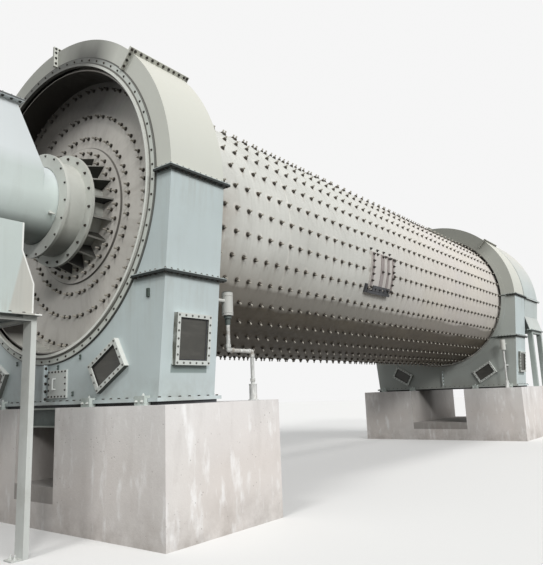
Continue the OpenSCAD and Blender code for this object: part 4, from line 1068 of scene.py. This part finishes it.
# Small lugs on the face of the feed casing, with their width, height and depth
SMALL_LUG, LARGE_LUG = (0.022, 0.06, 0.018), (0.046, 0.094, 0.022)
batch = Batch()
for y, up, (w, h, depth) in (
        (-0.71, -2.0, SMALL_LUG), (-0.25, -2.1, SMALL_LUG), (-0.57, -2.43, SMALL_LUG),
        (-1.93, -1.38, LARGE_LUG), (1.93, -1.38, LARGE_LUG), (0.71, -2.0, SMALL_LUG)):
    back, z = FEED_X0 - GAP, AXIS_Z + up
    batch.add(block((back - depth, y - w / 2, z - h / 2), (back, y + w / 2, z + h / 2), 0.005))
    for bolt_up in (0.28, -0.28):
        batch.on(LUG_BOLT, (-1, 0, 0), (back - 0.0001 - depth, y, z + h * bolt_up))
batch.make("casing_lugs", "lug", "plant", "casing_paint")

# Bolts of the clamps, two on the face and one down into the pier
batch = Batch()
for mid, half in ((0.0, FEED_HALF), (SPAN, DISCH_HALF)):
    for way in (-1, 1):
        face = mid + way * (half + JOINT + 0.046)
        for y in (-CLAMP_Y_OUT, -CLAMP_Y, CLAMP_Y, CLAMP_Y_OUT):
            for dy in (-0.045, 0.045):
                batch.on(CLAMP_NUT, (way, 0, 0), (face, y + dy, BASE_Z + 0.005))
            batch.on(CLAMP_NUT, (0, 0, 1), (mid + way * (half + 0.052), y, BASE_Z + 0.065))
batch.make("clamp_bolts", "frame", "plant", "sole_paint")

# Vent pipes: collars, couplings of the feed vent's pipe down to the pier, and its foot
PIPE_R, SLEEVE_R = 0.031, 0.0315
batch = Batch()
for x, y in (FEED_VENT, DISCH_VENT):
    for z0, z1, r in ((2.376, 2.411, 0.047), (2.6935, 2.704, 0.060)):
        batch.add(prism(24, r, z0, z1, r * 0.94), None, (x, y, 0))
    batch.add(prism(16, PIPE_R, 2.30, 2.375), None, (x, y, 0))
batch.make("vent_collars", "lug", "plant", "vent_paint")
batch = Batch()
for x, y in (FEED_VENT, DISCH_VENT):
    for z in (2.445, 2.655):
        batch.add(torus(0.0695, 0.004, 32, 6), None, (x, y, z))
vent_x, vent_y = FEED_VENT
drop_x = vent_x + 0.44
for x, z in ((vent_x, 2.025), (drop_x, 1.925), (drop_x, 1.62)):
    batch.add(prism(16, SLEEVE_R, z, z + 0.04), None, (x, vent_y, 0))
for x in (0.705, 1.03):
    batch.add(prism(16, SLEEVE_R, 0.0, 0.04), frame_to((1, 0, 0)), (x, vent_y, 1.995))
batch.add(prism(20, 0.064, 0.0, 0.012), None, (drop_x, vent_y, PIER_H + GAP))
batch.add(prism(16, 0.052, 0.0, 0.014), None, (drop_x, vent_y, PIER_H + 0.187))
batch.make("vent_fittings", "vent", "plant", "vent_paint")

# Mouth flange of the hopper
MOUTH_PITCH = 0.108
batch = Batch()
for y in (-MOUTH_Y, MOUTH_Y):
    for x in spread(MOUTH_X0, MOUTH_X1, MOUTH_PITCH):
        bolt_through(batch, batch, x, y, MOUTH_Z0, MOUTH_Z1)
for x in (MOUTH_X0, MOUTH_X1):
    for y in spread(-MOUTH_Y, MOUTH_Y, MOUTH_PITCH)[1:-1]:
        bolt_through(batch, batch, x, y, MOUTH_Z0, MOUTH_Z1)
batch.make("mouth_flange_bolts", "darkbolt", "plant", "chute_paint")

# A lifting eye on each side of the feed pipe
EYE_SEAT = join_parts([prism(12, 0.026, -0.002, 0.012), prism(12, 0.014, 0.012, 0.022)])
batch = Batch()
for deg in (-24.5, 204.5):
    foot, out = np.array(polar(-0.74, 0.508, deg)), np.array(out_of(deg))
    batch.add(EYE_SEAT, frame_to(out), foot)
    turn = np.array([(1.0, 0.0, 0.0), out, np.cross(out, (1.0, 0.0, 0.0))]).T
    batch.add(torus(0.030, 0.009, 20, 8), turn, foot + out * 0.046)
batch.make("lifting_eyes", "neck", "plant", "chute_paint")

# Foot flange of the feed box
FOOT_PITCH = 0.145
batch = Batch()
for y in (-1.351, 1.351):
    for x in spread(BOX_X - 0.94, BOX_X + 0.94, FOOT_PITCH):
        batch.on(JOINT_BOLT, (0, 0, 1), (x, y, BOX_FOOT))
for x in (BOX_X - 0.946, BOX_X + 0.946):
    for y in spread(-1.30, 1.30, FOOT_PITCH):
        batch.on(JOINT_BOLT, (0, 0, 1), (x, y, BOX_FOOT))
batch.make("box_foot_bolts", "darkbolt", "plant", "box_paint")

# Foot plates of the legs, inside the outline, with anchor bolts
FOOT_T = 0.014
batch = Batch()
for sx in (-1, 1):
    for sy in (-1, 1):
        leg_x, leg_y = BOX_X + sx * 0.97, sy * 1.30
        xa, xb = sorted((leg_x - sx * 0.0605, leg_x - sx * 0.17))
        ya, yb = sorted((leg_y, leg_y - sy * 0.15))
        batch.add(block((xa, ya, 0.0), (xb, yb, FOOT_T), 0.006))
        for dy in (0.035, 0.115):
            batch.on(ANCHOR_NUT, (0, 0, 1), (leg_x - sx * 0.12, leg_y - sy * dy, FOOT_T))
batch.make("leg_foot_plates", "steelwork", "plant", "steelwork_paint")

# Discharge hood
HOOD_PITCH = 0.11
SKIRT_W, SKIRT_TOP = 2.34965, 3.02
batch = Batch()
hood_w = chord(CASE_R, HOOD_JOINT_Z)
first_x, last_x = DISCH_X1 + JOINT + 0.004 + 0.05, HOOD_X1 + JOINT - EDGE
low, high = HOOD_JOINT_Z - PLATE, HOOD_JOINT_Z + PLATE
for side in (-1, 1):
    for x in spread(first_x, last_x, HOOD_PITCH):
        bolt_through(batch, batch, x, side * (hood_w + EDGE), low, high)
    for y in spread(0.80, hood_w - 0.02, HOOD_PITCH):
        bolt_through(batch, batch, last_x, side * y, low, high)
    for x in spread(first_x, last_x, 0.14):
        batch.on(JOINT_BOLT, (0, 0, 1), (x, side * (SKIRT_W + EDGE), SKIRT_TOP))
bolt_circle(batch, JOINT_BOLT, HOOD_X1 + 0.030, 1, 0.650, 24, 7.5)
batch.make("hood_bolts", "darkbolt", "plant", "hood_paint")


# Floor, light and camera
def stage_plane():
    """A plain floor, pale where it is seen and darker where it only throws light back."""
    far = 80.0
    mesh = bpy.data.meshes.new("floor")
    mesh.from_pydata([(-far, -far, 0), (far, -far, 0), (far, far, 0), (-far, far, 0)], [], [(0, 1, 2, 3)])
    floor = bpy.data.objects.new("floor", mesh)
    bpy.context.scene.collection.objects.link(floor)
    g = Graph("floor pale")
    g.put(g.bsdf.inputs["Base Color"], g.mix(g.seen(), (0.15, 0.138, 0.125, 1.0), (0.78, 0.78, 0.775, 1.0)))
    g.bsdf.inputs["Roughness"].default_value = 0.9
    g.bsdf.inputs["Specular IOR Level"].default_value = 0.0
    mesh.materials.append(g.mat)


def sun(name, toward, strength, degrees, colour):
    """A soft lamp far away, in the given direction from the mill."""
    light = bpy.data.lights.new(name, "SUN")
    light.energy = strength
    light.angle = math.radians(degrees)
    light.color = colour
    lamp = bpy.data.objects.new(name, light)
    lamp.location = Vector(toward) * 40.0
    lamp.rotation_mode = "QUATERNION"
    lamp.rotation_quaternion = (-Vector(toward)).to_track_quat("-Z", "Y")
    bpy.context.scene.collection.objects.link(lamp)


def studio():
    """Even light from all sides, seen by the camera and in reflections as a pale grey."""
    world = bpy.data.worlds.new("studio")
    bpy.context.scene.world = world
    g = Tree(world)
    mixed = g.new("ShaderNodeMixShader")
    g.link(g.seen(), mixed.inputs[0])
    for i, colour, strength in ((1, (0.97, 0.99, 1.0, 1.0), 0.40), (2, (0.92, 0.92, 0.92, 1.0), 1.0)):
        light = g.new("ShaderNodeBackground")
        light.inputs[0].default_value = colour
        light.inputs[1].default_value = strength
        g.link(light.outputs[0], mixed.inputs[i])
    g.link(mixed.outputs[0], g.new("ShaderNodeOutputWorld").inputs[0])


def photo_camera():
    """The camera fitted to the photograph, with its focal length and the image height in pixels."""
    focal, image_height, sensor = 591.2, 565.0, 36.0
    yaw, pitch, roll = math.radians(37.491), math.radians(10.679), math.radians(-2.205)
    place = Matrix.Translation((-4.656, -6.873, AXIS_Z - 2.522))
    heading = Matrix.Rotation(yaw - math.pi / 2, 4, "Z")
    tilt = Matrix.Rotation(math.pi / 2 + pitch, 4, "X")
    lens = bpy.data.cameras.new("camera")
    lens.sensor_fit = "AUTO"
    lens.sensor_width = sensor
    lens.lens = focal * sensor / image_height
    lens.clip_start = 0.05
    lens.clip_end = 500.0
    camera = bpy.data.objects.new("camera", lens)
    bpy.context.scene.collection.objects.link(camera)
    camera.matrix_world = place @ heading @ tilt @ Matrix.Rotation(roll, 4, "Z")
    bpy.context.scene.camera = camera


stage_plane()
sun("key", (-0.10, -0.86, 0.53), 2.0, 34.0, (1.0, 0.995, 0.985))
sun("front high", (-0.62, -0.10, 0.78), 0.98, 14.0, (1.0, 0.985, 0.962))
sun("front low", (-0.61, -0.73, 0.43), 0.95, 10.0, (1.0, 0.985, 0.962))
sun("back", (0.35, 0.80, 0.40), 0.55, 40.0, (1.0, 1.0, 1.0))
studio()
photo_camera()
bpy.context.scene.view_settings.view_transform = "Standard"
